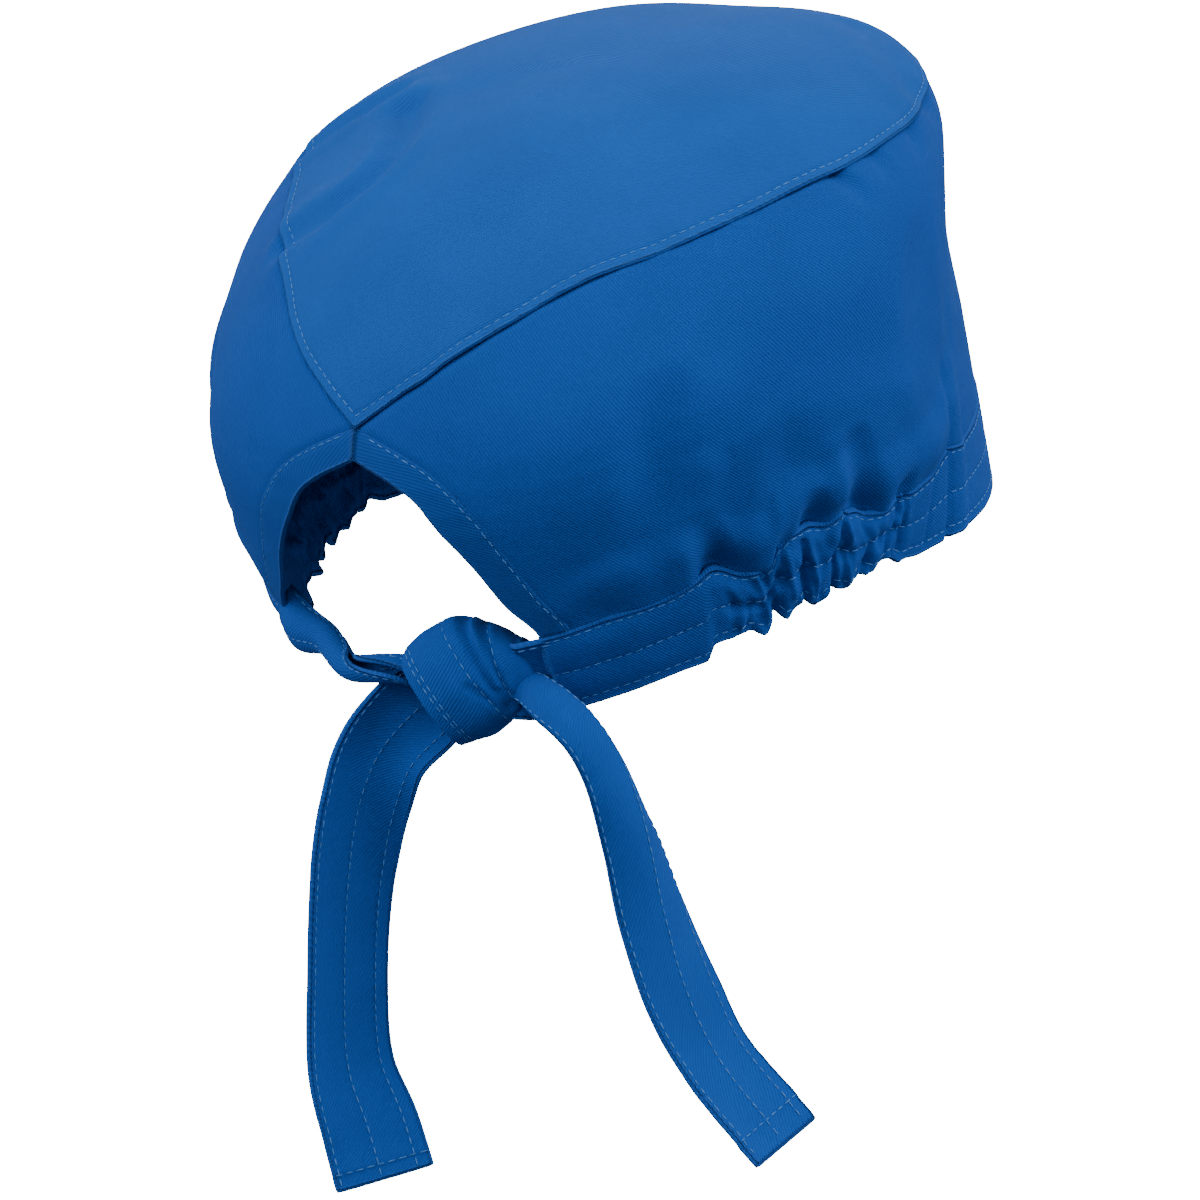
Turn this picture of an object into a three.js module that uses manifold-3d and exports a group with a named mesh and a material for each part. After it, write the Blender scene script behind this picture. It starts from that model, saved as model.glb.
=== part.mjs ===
// A tie-back scrub cap in royal blue cotton twill, in the shape that it has when it is worn.
// A teardrop crown panel sits on one side panel that wraps round the head. A stitched hem band
// closes the rim, drawn up by elastic over both ears. The cap is open at the nape, where a
// narrow binding edges a keyhole, and the ends of the band are knotted under it.
// Millimetres, +Z up, the forehead towards -Y, the wearer's right side towards -X.
// The origin is in the middle of the head opening.

import * as THREE from 'three';
import Module from 'manifold-3d';
import { mergeVertices } from 'three/addons/utils/BufferGeometryUtils.js';

// Walls and strips
const PANEL_WALL = 1.2;
const BINDING_WALL = 1.6;
const BAND_WALL = 2.2;
const TIE_WALL = 1.8;
const TIE_WIDTH = 25;
const TWISTED_WIDTH = 11;   // the left tie is folded lengthwise and twisted
const TWISTED_WALL = 3.2;
const SHORT_TIE_WIDTH = 22;     // the right tie is creased as it enters the knot
const BAND_END_RUN = 4;         // each tie leaves the band straight for this length
const PIECE_GAP = 0.36;
const BAND_END_GAP = 0.54;

// The worn form
const CROWN_TOP = 131;        // height of the crown's pole, before the cap is tipped back
const CROWN_SHIFT = -26.5;    // how far the pole lies in front of the middle
const TIPPED_BACK = 17.5;     // degrees
const WIDEST_AT = 0.6;        // share of a meridian above the widest line
const RIM_MM = 172;           // length of a whole meridian at the rate of its lower part
const KEYHOLE_TOP = 0.57;     // share of the nape meridian above the keyhole
const SEAM_STEP = 0.5;        // the crown's folded edge stands this proud of the side panel

// One row for every 30 degrees from the nape to the forehead, the same on both sides.
// seam and bandTop are shares of the meridian, counted from the pole down to the rim.
const FORM = [
  { azimuth: 0, widest: 99.5, widestAt: 62.5, rim: 94.5, rimAt: -7, square: 2.4, seam: 0.535, bandTop: 0.87 },
  { azimuth: 30, widest: 101.5, widestAt: 62.5, rim: 90, rimAt: -2, square: 2.2, seam: 0.38, bandTop: 0.86 },
  { azimuth: 60, widest: 100.5, widestAt: 67.5, rim: 84.5, rimAt: 3, square: 2.15, seam: 0.345, bandTop: 0.85 },
  { azimuth: 90, widest: 103, widestAt: 72, rim: 87, rimAt: 4.5, square: 2.65, seam: 0.355, bandTop: 0.865 },
  { azimuth: 120, widest: 101, widestAt: 75.5, rim: 99.5, rimAt: 2, square: 2.9, seam: 0.395, bandTop: 0.87 },
  { azimuth: 150, widest: 105.5, widestAt: 78, rim: 104, rimAt: 0, square: 2.85, seam: 0.41, bandTop: 0.86 },
  { azimuth: 180, widest: 112.5, widestAt: 71, rim: 105, rimAt: -1.5, square: 2.5, seam: 0.44, bandTop: 0.86 },
];

// Both edges of the binding, as degrees from the nape, by share of the way down to the band.
const KEYHOLE = [
  { down: 0, edge: 0, seam: 0 },
  { down: 0.12, edge: 9.5, seam: 12.5 },
  { down: 0.3, edge: 14.5, seam: 20 },
  { down: 0.5, edge: 18.5, seam: 23.5 },
  { down: 0.75, edge: 22, seam: 27 },
  { down: 1, edge: 26, seam: 30.5 },
];

// Elastic gathers over the ear. rise lifts the band's top edge and lift its bottom edge,
// and out is how far the pleat stands out at the bottom edge, all in millimetres.
const GATHERS = [
  { azimuth: 46, rise: 0, lift: 0, out: 0 },
  { azimuth: 51.5, rise: 1, lift: -0.5, out: 1 },
  { azimuth: 53.5, rise: 1.5, lift: 4, out: -2 },
  { azimuth: 59.5, rise: -4, lift: 3.2, out: -0.5 },
  { azimuth: 63.3, rise: -4.5, lift: 0.4, out: 2.2 },
  { azimuth: 65.4, rise: 1, lift: 4.6, out: -2.2 },
  { azimuth: 67.8, rise: 3.3, lift: 1.7, out: 2.2 },
  { azimuth: 70.8, rise: 2.6, lift: 5, out: -2 },
  { azimuth: 74.2, rise: 1.2, lift: 1.5, out: 2.2 },
  { azimuth: 77.4, rise: 2.6, lift: 3.8, out: -2 },
  { azimuth: 80.6, rise: 0, lift: 1.8, out: 2 },
  { azimuth: 84.2, rise: -3.2, lift: 3.8, out: -1.6 },
  { azimuth: 87.2, rise: -3.4, lift: 2.5, out: 1.8 },
  { azimuth: 89.4, rise: -3, lift: 4.8, out: -1.4 },
  { azimuth: 93.5, rise: -2.8, lift: 1.4, out: 0.4 },
  { azimuth: 99, rise: -2, lift: 0, out: 0 },
  { azimuth: 105, rise: 1.5, lift: 0, out: 0 },
  { azimuth: 112, rise: 0, lift: 0, out: 0 },
];

// Hollows between the flutes of the side panel, just above the band.
const HOLLOWS = [
  { azimuth: 36, half: 8, reach: 16, depth: 1.6 },
  { azimuth: 55.5, half: 6, reach: 19, depth: 3.2 },
  { azimuth: 72, half: 4.5, reach: 15, depth: 2.6 },
  { azimuth: 82, half: 5.5, reach: 22, depth: 4 },
  { azimuth: 91.5, half: 3.5, reach: 12, depth: 1.6 },
];

// Wide soft dents of the side panel. at and tall are shares of the meridian.
const DENTS = [
  { azimuth: 48, half: 7.5, at: 0.62, tall: 0.13, depth: 2.4 },
  { azimuth: 68, half: 7, at: 0.7, tall: 0.09, depth: 1.2 },
  { azimuth: 100, half: 9, at: 0.58, tall: 0.12, depth: 1.6 },
  { azimuth: 128, half: 12, at: 0.6, tall: 0.14, depth: 1.8 },
];

// Ease puckers that run down from the front of the crown seam.
const PUCKERS = [
  { azimuth: 85.5, lean: 40, long: 0.1, half: 2.6, depth: 1.7 },
  { azimuth: 95, lean: 12, long: 0.1, half: 3.2, depth: 1.1 },
  { azimuth: 110, lean: -55, long: 0.08, half: 3, depth: 1.5 },
  { azimuth: 124, lean: -20, long: 0.08, half: 3.4, depth: 1.1 },
];

// Creases of the crown, as seen from above, each along its own short line, with a soft lip
// on both sides. They die out on the side panel.
const CREASE_LIP = 0.4;
const CREASE_END = 0.06;    // share of the meridian below the crown seam
const CREASES = [
  { depth: 2.4, half: 8, line: [[52, 74], [41, 73], [33, 66], [32, 56], [37, 45], [45, 34]] },
  { depth: 1.8, half: 7, line: [[80, 32], [70, 29], [58, 24]] },
  { depth: 1, half: 9, line: [[-76, -26], [-62, -34], [-46, -44]] },
];

// The tuck at each temple
const TUCK = { azimuth: 106, half: 1.1, depth: 1.3, padAt: 109.6, padHalf: 3, pad: 1 };
const TUCK_FROM = 0.7;      // share of the meridian
const TUCK_FADE = 0.05;

// The left end of the band is rolled up on its way to the knot.
const ROLLED_END = { from: -50, lift: 11.5 };

// The side panel rolls over the band before it is taken into it.
const BLOUSE = { out: 2.2, at: 10, half: 11, from: 24, to: 112, fade: 13 };

// How far above the band the pleats begin, their share at its top edge, and the share of its
// height at which they stand out in full.
const PLEAT = { above: 8, topShare: 0.3, fullAt: 0.55 };

// The hollows start a little below the band's top edge and reach up from there.
const HOLLOW_FOOT = { from: -5, to: 3 };

// The knot and the two hanging ends lie in an upright plane through the knot.
const KNOT_AT = new THREE.Vector3(-18.4, 92, -19.5);
const PLANE_TURN = THREE.MathUtils.degToRad(25);
const KNOT_LEAN = THREE.MathUtils.degToRad(36);

// Sections of the knot along its own axis: the extent of the wrap across that axis and its depth.
const KNOT = [
  { along: -9.6, up: -6, down: 7, depth: 4.5 },
  { along: -8.4, up: -12.5, down: 13, depth: 8 },
  { along: -6, up: -15, down: 15.2, depth: 9.4 },
  { along: 0, up: -15.2, down: 16.4, depth: 10 },
  { along: 6, up: -15, down: 16.4, depth: 9.8 },
  { along: 10, up: -12.8, down: 15, depth: 8.8 },
  { along: 14, up: -8, down: 11.5, depth: 7 },
  { along: 17.5, up: -3, down: 6.5, depth: 4 },
];

// Rows of a strip: across is towards the wearer's left, height above the knot, out away from
// the head. turn rolls the strip about its run, slope tips its width, and cup curls its section,
// towards the head where it is below zero.
const TAIL_LEFT = [
  { across: 4, height: -3.5, out: -3, slope: 38, turn: 0, cup: 50 },
  { across: 11.5, height: -9, out: -3, slope: 36, turn: 0, cup: 34 },
  { across: 20.8, height: -19.5, out: -1, slope: 28, turn: 14, cup: 50 },
  { across: 25.5, height: -33, out: 2, slope: 14, turn: 33, cup: 33 },
  { across: 28.9, height: -53, out: 2, slope: 6, turn: 47, cup: 18 },
  { across: 30.8, height: -80, out: 0, slope: 1, turn: 52, cup: 14 },
  { across: 29.8, height: -103, out: 0, slope: -11, turn: 46, cup: 12 },
  { across: 23.6, height: -118, out: 3, slope: -20, turn: 32, cup: 8 },
  { across: 19, height: -130, out: 6, slope: -16, turn: 22, cup: 4 },
];
const TAIL_RIGHT = [
  { across: -8, height: 3, out: 3.5, slope: -50, turn: 84, cup: -140 },
  { across: -19.5, height: 0.5, out: 8, slope: -56, turn: 90, cup: -132 },
  { across: -28, height: -4.1, out: 10.1, slope: -48, turn: 93, cup: -114 },
  { across: -34.8, height: -9.4, out: 12.2, slope: -36, turn: 94, cup: -104 },
  { across: -41.9, height: -20, out: 10.5, slope: -25, turn: 85, cup: -90 },
  { across: -48, height: -36.5, out: 8, slope: -17, turn: 69, cup: -74 },
  { across: -53.4, height: -58, out: 5, slope: -16, turn: 58, cup: -42 },
  { across: -59.6, height: -78.4, out: 3, slope: -22, turn: 56, cup: -17 },
  { across: -68.4, height: -96, out: 2, slope: -35, turn: 60, cup: -4 },
  { across: -85.9, height: -116, out: 3, slope: -41, turn: 58, cup: 6 },
];
const TIE_LEFT_MIDDLE = [
  { across: 40, height: 9.5, out: -19, slope: 70, turn: 25, cup: 50 },
  { across: 31, height: 5.5, out: -6, slope: 66, turn: 90, cup: 60 },
  { across: 21, height: 4, out: 3.5, slope: 76, turn: 160, cup: 50 },
  { across: 7, height: 4, out: 4.5, slope: 84, turn: 178, cup: 50 },
];
const TIE_RIGHT_MIDDLE = [
  { across: -18, height: 3.5, out: -9.5, slope: 106, turn: 0, cup: 60 },
  { across: -8, height: 3, out: -8, slope: 100, turn: 0, cup: 66 },
];

const radians = THREE.MathUtils.degToRad;
const clamp = THREE.MathUtils.clamp;

// A round bump: 1 in the middle and 0 from a distance of 1.
function bump(x) {
  const inside = Math.max(0, 1 - x * x);
  return inside * inside;
}

function smooth(x, from, to) {
  const t = clamp((x - from) / (to - from), 0, 1);
  return t * t * (3 - 2 * t);
}

// Cubic through a column of a table. An open start or end is level unless kinked is set.
function column(rows, by, key, x, kinked = false) {
  let i = 0;
  while (i < rows.length - 2 && x > rows[i + 1][by]) {
    i += 1;
  }
  const slope = (k) => {
    if (k === 0 && kinked) {
      return (rows[1][key] - rows[0][key]) / (rows[1][by] - rows[0][by]);
    }
    if (k === 0 || k === rows.length - 1) {
      return 0;
    }
    return (rows[k + 1][key] - rows[k - 1][key]) / (rows[k + 1][by] - rows[k - 1][by]);
  };
  const h = rows[i + 1][by] - rows[i][by];
  const t = clamp((x - rows[i][by]) / h, 0, 1);
  const t2 = t * t;
  const t3 = t2 * t;
  return (2 * t3 - 3 * t2 + 1) * rows[i][key] + (t3 - 2 * t2 + t) * h * slope(i)
    + (3 * t2 - 2 * t3) * rows[i + 1][key] + (t3 - t2) * h * slope(i + 1);
}

// A column whose rows are the crests and hollows of a wave.
function wave(rows, key, x) {
  if (x <= rows[0].azimuth || x >= rows[rows.length - 1].azimuth) {
    return 0;
  }
  let i = 0;
  while (x > rows[i + 1].azimuth) {
    i += 1;
  }
  return rows[i][key] + (rows[i + 1][key] - rows[i][key]) * smooth(x, rows[i].azimuth, rows[i + 1].azimuth);
}

// The left side is gathered like the right one, a little further forward and more gently.
const LEFT_SHIFT = 2.5;
const LEFT_SHARE = 0.9;
const mirrored = (azimuth) => (azimuth < 0 ? -azimuth - LEFT_SHIFT : azimuth);
const share = (azimuth) => (azimuth < 0 ? LEFT_SHARE : 1);

const form = (key, azimuth, kinked) => column(FORM, 'azimuth', key, Math.abs(azimuth), kinked);
const crownSeam = (azimuth) => form('seam', azimuth, true);

const BAND_END = KEYHOLE[KEYHOLE.length - 1].edge;
const BINDING_END = KEYHOLE[KEYHOLE.length - 1].seam;

function rollShare(azimuth) {
  return azimuth < 0 ? 1 - smooth(-azimuth, BAND_END, -ROLLED_END.from) : 0;
}

const bandTop = (azimuth) => form('bandTop', azimuth)
  - share(azimuth) * wave(GATHERS, 'rise', mirrored(azimuth)) / RIM_MM;
const bandBottom = (azimuth) => 1
  - share(azimuth) * wave(GATHERS, 'lift', mirrored(azimuth)) / RIM_MM
  - rollShare(azimuth) * ROLLED_END.lift / RIM_MM;

// The smooth head form, without a fold.
function bare(azimuth, s) {
  const widest = form('widest', azimuth);
  const widestAt = form('widestAt', azimuth);
  const rim = form('rim', azimuth);
  const rimAt = form('rimAt', azimuth);
  const power = 2 / form('square', azimuth);
  let r;
  let z;
  if (s <= WIDEST_AT) {
    const quarter = (s / WIDEST_AT) * Math.PI / 2;
    r = widest * Math.sin(quarter) ** power;
    z = widestAt + (CROWN_TOP - widestAt) * Math.max(0, Math.cos(quarter)) ** power;
  } else {
    const v = (s - WIDEST_AT) / (1 - WIDEST_AT);
    r = widest - (widest - rim) * v * v;
    z = widestAt - (widestAt - rimAt) * v;
  }
  const upper = clamp((z - widestAt) / (CROWN_TOP - widestAt), 0, 1);
  const turn = radians(azimuth);
  const point = new THREE.Vector3(-r * Math.sin(turn), r * Math.cos(turn) + CROWN_SHIFT * upper, z);
  return point.applyAxisAngle(new THREE.Vector3(1, 0, 0), -radians(TIPPED_BACK));
}

// The outward direction of the smooth form, taken over a short stretch of it.
const STRETCH = { degrees: 1, share: 0.012 };
function outward(azimuth, s) {
  const at = Math.max(s, STRETCH.share * 2);
  const round = bare(azimuth + STRETCH.degrees, at).sub(bare(azimuth - STRETCH.degrees, at));
  const down = bare(azimuth, at + STRETCH.share).sub(bare(azimuth, at - STRETCH.share));
  return down.cross(round).normalize();
}

// Distance from a point to a line of short straight pieces, in plan.
function awayFrom(line, x, y) {
  let nearest = Infinity;
  for (let i = 0; i + 1 < line.length; i += 1) {
    const [ax, ay] = line[i];
    const [bx, by] = line[i + 1];
    const length = (bx - ax) ** 2 + (by - ay) ** 2;
    const t = clamp(((x - ax) * (bx - ax) + (y - ay) * (by - ay)) / length, 0, 1);
    nearest = Math.min(nearest, Math.hypot(x - ax - t * (bx - ax), y - ay - t * (by - ay)));
  }
  return nearest;
}

function creaseRelief(point) {
  let out = 0;
  for (const crease of CREASES) {
    const away = awayFrom(crease.line, point.x, point.y);
    out -= crease.depth * bump(away / crease.half);
    out += CREASE_LIP * crease.depth * bump((away - crease.half) / crease.half);
  }
  return out;
}

// Everything that lies proud of or below the smooth form, below the crown seam.
function panelRelief(azimuth, s, point) {
  const side = mirrored(azimuth);
  const amount = share(azimuth);
  const above = (bandTop(azimuth) - s) * RIM_MM;
  const band = RIM_MM * (bandBottom(azimuth) - bandTop(azimuth));
  const pleat = PLEAT.topShare + (1 - PLEAT.topShare) * smooth(-above, 0, band * PLEAT.fullAt);
  let out = amount * wave(GATHERS, 'out', side) * pleat * smooth(-above, -PLEAT.above, 0);
  for (const hollow of HOLLOWS) {
    const height = smooth(above, HOLLOW_FOOT.from, HOLLOW_FOOT.to)
      * (1 - smooth(above, HOLLOW_FOOT.to, hollow.reach));
    out -= amount * hollow.depth * bump((side - hollow.azimuth) / hollow.half) * height;
  }
  for (const dent of DENTS) {
    out -= amount * dent.depth * bump((side - dent.azimuth) / dent.half) * bump((s - dent.at) / dent.tall);
  }
  for (const pucker of PUCKERS) {
    const below = s - crownSeam(azimuth);
    const line = pucker.azimuth + pucker.lean * below;
    const fade = 1 - smooth(below, 0, pucker.long);
    out -= amount * pucker.depth * bump((side - line) / pucker.half) * fade;
  }
  out += creaseRelief(point) * (1 - smooth(s - crownSeam(azimuth), 0, CREASE_END));
  const tucked = smooth(s, TUCK_FROM, TUCK_FROM + TUCK_FADE);
  out -= tucked * TUCK.depth * bump((side - TUCK.azimuth) / TUCK.half);
  out += tucked * TUCK.pad * bump((side - TUCK.padAt) / TUCK.padHalf);
  const ears = smooth(side, BLOUSE.from, BLOUSE.from + BLOUSE.fade)
    * (1 - smooth(side, BLOUSE.to - BLOUSE.fade, BLOUSE.to));
  out += ears * BLOUSE.out * bump((above - BLOUSE.at) / BLOUSE.half);
  return out;
}

// A point of the outer skin and the direction in which the wall has its thickness.
function skin(azimuth, s, relief) {
  const n = outward(azimuth, s);
  const p = bare(azimuth, s);
  return { p: p.addScaledVector(n, relief(azimuth, s, p)), n };
}

const crownSkin = (azimuth, s) => skin(azimuth, s, (a, t, p) => creaseRelief(p) + SEAM_STEP);
const panelSkin = (azimuth, s) => skin(azimuth, s, panelRelief);

// A mesh from points and triangles, turned so that its faces point out.
function solid(points, triangles) {
  let volume = 0;
  for (const [a, b, c] of triangles) {
    volume += points[a].dot(new THREE.Vector3().crossVectors(points[b], points[c]));
  }
  const index = triangles.flatMap(([a, b, c]) => (volume > 0 ? [a, b, c] : [a, c, b]));
  const geometry = new THREE.BufferGeometry().setFromPoints(points);
  geometry.setIndex(index);
  geometry.computeVertexNormals();
  return geometry;
}

// A wall from a grid of skin points: outer and inner skin and the four edges between them.
function wall(grid, thickness) {
  const rows = grid.length;
  const columns = grid[0].length;
  const outer = grid.flat();
  const inner = outer.map(({ p, n }) => p.clone().addScaledVector(n, -thickness));
  const points = outer.map(({ p }) => p).concat(inner);
  const skip = rows * columns;
  const triangles = [];
  const quad = (a, b, c, d) => triangles.push([a, b, c], [a, c, d]);
  for (let i = 0; i + 1 < rows; i += 1) {
    for (let j = 0; j + 1 < columns; j += 1) {
      const a = i * columns + j;
      const c = a + columns;
      quad(a, a + 1, c + 1, c);
      quad(skip + a, skip + c, skip + c + 1, skip + a + 1);
    }
  }
  for (let j = 0; j + 1 < columns; j += 1) {
    const last = (rows - 1) * columns + j;
    quad(j, skip + j, skip + j + 1, j + 1);
    quad(last, last + 1, skip + last + 1, skip + last);
  }
  for (let i = 0; i + 1 < rows; i += 1) {
    const a = i * columns;
    const b = a + columns - 1;
    quad(a, a + columns, skip + a + columns, skip + a);
    quad(b, skip + b, skip + b + columns, b + columns);
  }
  return solid(points, triangles);
}

// A closed dome from rings of skin points round one pole.
function dome(pole, rings, thickness) {
  const outer = [pole, ...rings.flat()];
  const points = outer.map(({ p }) => p);
  const inner = outer.map(({ p, n }) => p.clone().addScaledVector(n, -thickness));
  const skip = outer.length;
  const count = rings[0].length;
  const triangles = [];
  const at = (ring, k) => 1 + ring * count + (k % count);
  for (let k = 0; k < count; k += 1) {
    triangles.push([0, at(0, k), at(0, k + 1)]);
    triangles.push([skip, skip + at(0, k + 1), skip + at(0, k)]);
    for (let ring = 0; ring + 1 < rings.length; ring += 1) {
      const [a, b, c, d] = [at(ring, k), at(ring + 1, k), at(ring + 1, k + 1), at(ring, k + 1)];
      triangles.push([a, b, c], [a, c, d], [skip + a, skip + c, skip + b], [skip + a, skip + d, skip + c]);
    }
    const [e, f] = [at(rings.length - 1, k), at(rings.length - 1, k + 1)];
    triangles.push([e, skip + e, skip + f], [e, skip + f, f]);
  }
  return solid(points.concat(inner), triangles);
}

const EAR = { from: 45, to: 94 };   // degrees from the nape
const EAR_STEP = 2.1;
const HEM_STEP = 6.5;

// Columns of the side panel and the band from the binding to the forehead, closer together over
// the ear, and columns of the binding's foot. Neighbours share them, so that their edges agree.
function hemColumns() {
  const list = [BINDING_END];
  while (list[list.length - 1] < 180) {
    const at = list[list.length - 1];
    const step = at > EAR.from && at < EAR.to ? EAR_STEP : HEM_STEP;
    list.push(at + step > 180 - step / 2 ? 180 : at + step);
  }
  return list;
}

const BINDING_COLUMNS = [0, 0.34, 0.67, 1];
const HEM_COLUMNS = hemColumns();
const SEAM_COLUMNS = HEM_COLUMNS.map((a) => 180 * (a - BINDING_END) / (180 - BINDING_END));

// Half a gap, as a share of the meridian and as degrees round the nape
const NAPE_RADIUS = 90;
const GAP_SHARE = PIECE_GAP / 2 / RIM_MM;
const GAP_DEGREES = THREE.MathUtils.radToDeg(PIECE_GAP / 2 / NAPE_RADIUS);
const TIP_SPREAD = 8;       // the gap is doubled at the crown's tip, over this fraction of the seam

function crownPanel() {
  const shares = [0.1, 0.22, 0.34, 0.46, 0.58, 0.7, 0.82, 0.92, 1];
  const columns = [...SEAM_COLUMNS, ...SEAM_COLUMNS.slice(1, -1).reverse().map((a) => -a)];
  const rings = shares.map((t) => columns.map(
    (azimuth) => crownSkin(azimuth, t * (crownSeam(azimuth) - GAP_SHARE)),
  ));
  return dome(crownSkin(0, 0), rings, PANEL_WALL);
}

const bindingSeam = (down) => column(KEYHOLE, 'down', 'seam', down, true);
const bindingEdge = (down) => column(KEYHOLE, 'down', 'edge', down, true);

function sidePanel() {
  const shares = [0, 0.06, 0.15, 0.27, 0.4, 0.53, 0.66, 0.77, 0.86, 0.93, 1];
  const half = SEAM_COLUMNS.map((a) => a / 180);
  const turns = [...half.map((u) => [1, u]), ...half.slice(0, -1).reverse().map((u) => [-1, u])];
  const grid = shares.map((t) => turns.map(([hand, u]) => {
    const start = bindingSeam(t) + GAP_DEGREES * (1 + bump(TIP_SPREAD * t));
    const azimuth = hand * (start + (180 - start) * u);
    const top = crownSeam(180 * u) + GAP_SHARE * (t > 0 && u === 0 ? -1 : 1);
    return panelSkin(azimuth, (1 - t) * top + t * (bandTop(azimuth) - GAP_SHARE));
  }));
  return wall(grid, PANEL_WALL);
}

function opening(hand) {
  const shares = [0, 0.06, 0.13, 0.21, 0.3, 0.4, 0.5, 0.6, 0.7, 0.8, 0.9, 1];
  const grid = shares.map((t) => BINDING_COLUMNS.map((w) => {
    const from = bindingEdge(t) + (t === 0 ? GAP_DEGREES : 0);
    const to = bindingSeam(t) + (t === 0 ? GAP_DEGREES : -GAP_DEGREES);
    const azimuth = hand * (from + (to - from) * w);
    const top = KEYHOLE_TOP + (crownSeam(0) + 3 * GAP_SHARE - KEYHOLE_TOP) * w;
    return panelSkin(azimuth, (1 - t) * top + t * (bandTop(azimuth) - GAP_SHARE));
  }));
  return wall(grid, BINDING_WALL);
}

function hemBand() {
  const foot = BINDING_COLUMNS.map((w) => BAND_END + (BINDING_END - BAND_END) * w);
  const half = [...foot, ...HEM_COLUMNS.slice(1)];
  const azimuths = [...half, ...half.slice(0, -1).reverse().map((a) => -a)];
  const shares = [0, 0.22, 0.48, 0.75, 1];
  const grid = shares.map((t) => azimuths.map((azimuth) => {
    const top = bandTop(azimuth) + GAP_SHARE;
    return panelSkin(azimuth, top + (bandBottom(azimuth) - top) * t);
  }));
  return wall(grid, BAND_WALL);
}

// Directions of the plane in which the knot and the hanging ends lie
const ACROSS = new THREE.Vector3(Math.cos(PLANE_TURN), Math.sin(PLANE_TURN), 0);
const OUT = new THREE.Vector3(-Math.sin(PLANE_TURN), Math.cos(PLANE_TURN), 0);
const UP = new THREE.Vector3(0, 0, 1);

const hung = ({ across, height, out }) => KNOT_AT.clone()
  .addScaledVector(ACROSS, across).addScaledVector(UP, height).addScaledVector(OUT, out);

// The row of a strip's table as a place, the direction of its width and the curl of its section.
function station(row) {
  const at = hung(row);
  const slope = radians(row.slope);
  const width = ACROSS.clone().multiplyScalar(Math.cos(slope)).addScaledVector(UP, Math.sin(slope));
  const run = new THREE.Vector3().crossVectors(width, OUT);
  width.applyAxisAngle(run, radians(row.turn));
  return { at, width, cup: radians(row.cup) };
}

const STRIP_QUADS = 5;      // across the width
const LEAST_CUP = 0.02;
const SEAT_OF_ARC = 0.6;    // the run passes through the arc at this share of its half angle

// A strip of cloth through its stations, with its section curled to an arc of the same length.
function strip(stations, steps, width, thickness) {
  const path = new THREE.CatmullRomCurve3(stations.map(({ at }) => at), false, 'centripetal');
  const sides = new THREE.CatmullRomCurve3(stations.map((s) => s.width), false, 'centripetal');
  const cups = stations.map(({ cup }, k) => ({ k, cup }));
  const grid = [];
  for (let i = 0; i <= steps; i += 1) {
    const t = i / steps;
    const at = path.getPoint(t);
    const run = path.getTangent(t);
    const side = sides.getPoint(t);
    side.addScaledVector(run, -side.dot(run)).normalize();
    const face = new THREE.Vector3().crossVectors(run, side);
    const curl = column(cups, 'k', 'cup', t * (stations.length - 1));
    const cup = Math.abs(curl) < LEAST_CUP ? LEAST_CUP : curl;
    const radius = width / 2 / cup;
    const row = [];
    for (let j = 0; j <= STRIP_QUADS; j += 1) {
      const angle = cup * (2 * j / STRIP_QUADS - 1);
      const n = face.clone().multiplyScalar(Math.cos(angle)).addScaledVector(side, Math.sin(angle));
      const p = at.clone().addScaledVector(side, radius * Math.sin(angle));
      p.addScaledVector(face, radius * (Math.cos(angle) - Math.cos(cup * SEAT_OF_ARC)));
      row.push({ p: p.addScaledVector(n, thickness / 2), n });
    }
    grid.push(row);
  }
  return wall(grid, thickness);
}

const KNOT_SIDES = 14;

// The wrap of the knot as a lofted body. grow widens it on all sides.
function knotBody(grow) {
  const axis = ACROSS.clone().multiplyScalar(-Math.cos(KNOT_LEAN)).addScaledVector(UP, Math.sin(KNOT_LEAN));
  const down = ACROSS.clone().multiplyScalar(-Math.sin(KNOT_LEAN)).addScaledVector(UP, -Math.cos(KNOT_LEAN));
  const last = KNOT.length - 1;
  const points = [];
  const triangles = [];
  KNOT.forEach((row, k) => {
    const along = row.along + (k === 0 ? -grow : 0) + (k === last ? grow : 0);
    const middle = (row.up + row.down) / 2;
    const reach = (row.down - row.up) / 2 + grow;
    for (let j = 0; j < KNOT_SIDES; j += 1) {
      const turn = 2 * Math.PI * j / KNOT_SIDES;
      points.push(KNOT_AT.clone().addScaledVector(axis, along)
        .addScaledVector(down, middle + reach * Math.cos(turn))
        .addScaledVector(OUT, (row.depth + grow) * Math.sin(turn)));
    }
  });
  for (let k = 0; k < last; k += 1) {
    for (let j = 0; j < KNOT_SIDES; j += 1) {
      const a = k * KNOT_SIDES + j;
      const b = k * KNOT_SIDES + (j + 1) % KNOT_SIDES;
      triangles.push([a, b, b + KNOT_SIDES], [a, b + KNOT_SIDES, a + KNOT_SIDES]);
    }
  }
  for (let j = 1; j + 1 < KNOT_SIDES; j += 1) {
    triangles.push([0, j + 1, j]);
    triangles.push([last * KNOT_SIDES, last * KNOT_SIDES + j, last * KNOT_SIDES + j + 1]);
  }
  return solid(points, triangles);
}

const wasm = await Module();
wasm.setup();

const WELD = 1e-4;
function toManifold(geometry) {
  const bareGeometry = geometry.clone();
  bareGeometry.deleteAttribute('normal');
  const merged = mergeVertices(bareGeometry, WELD);
  return new wasm.Manifold(new wasm.Mesh({
    numProp: 3,
    vertProperties: new Float32Array(merged.attributes.position.array),
    triVerts: new Uint32Array(merged.index.array),
  }));
}

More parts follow.
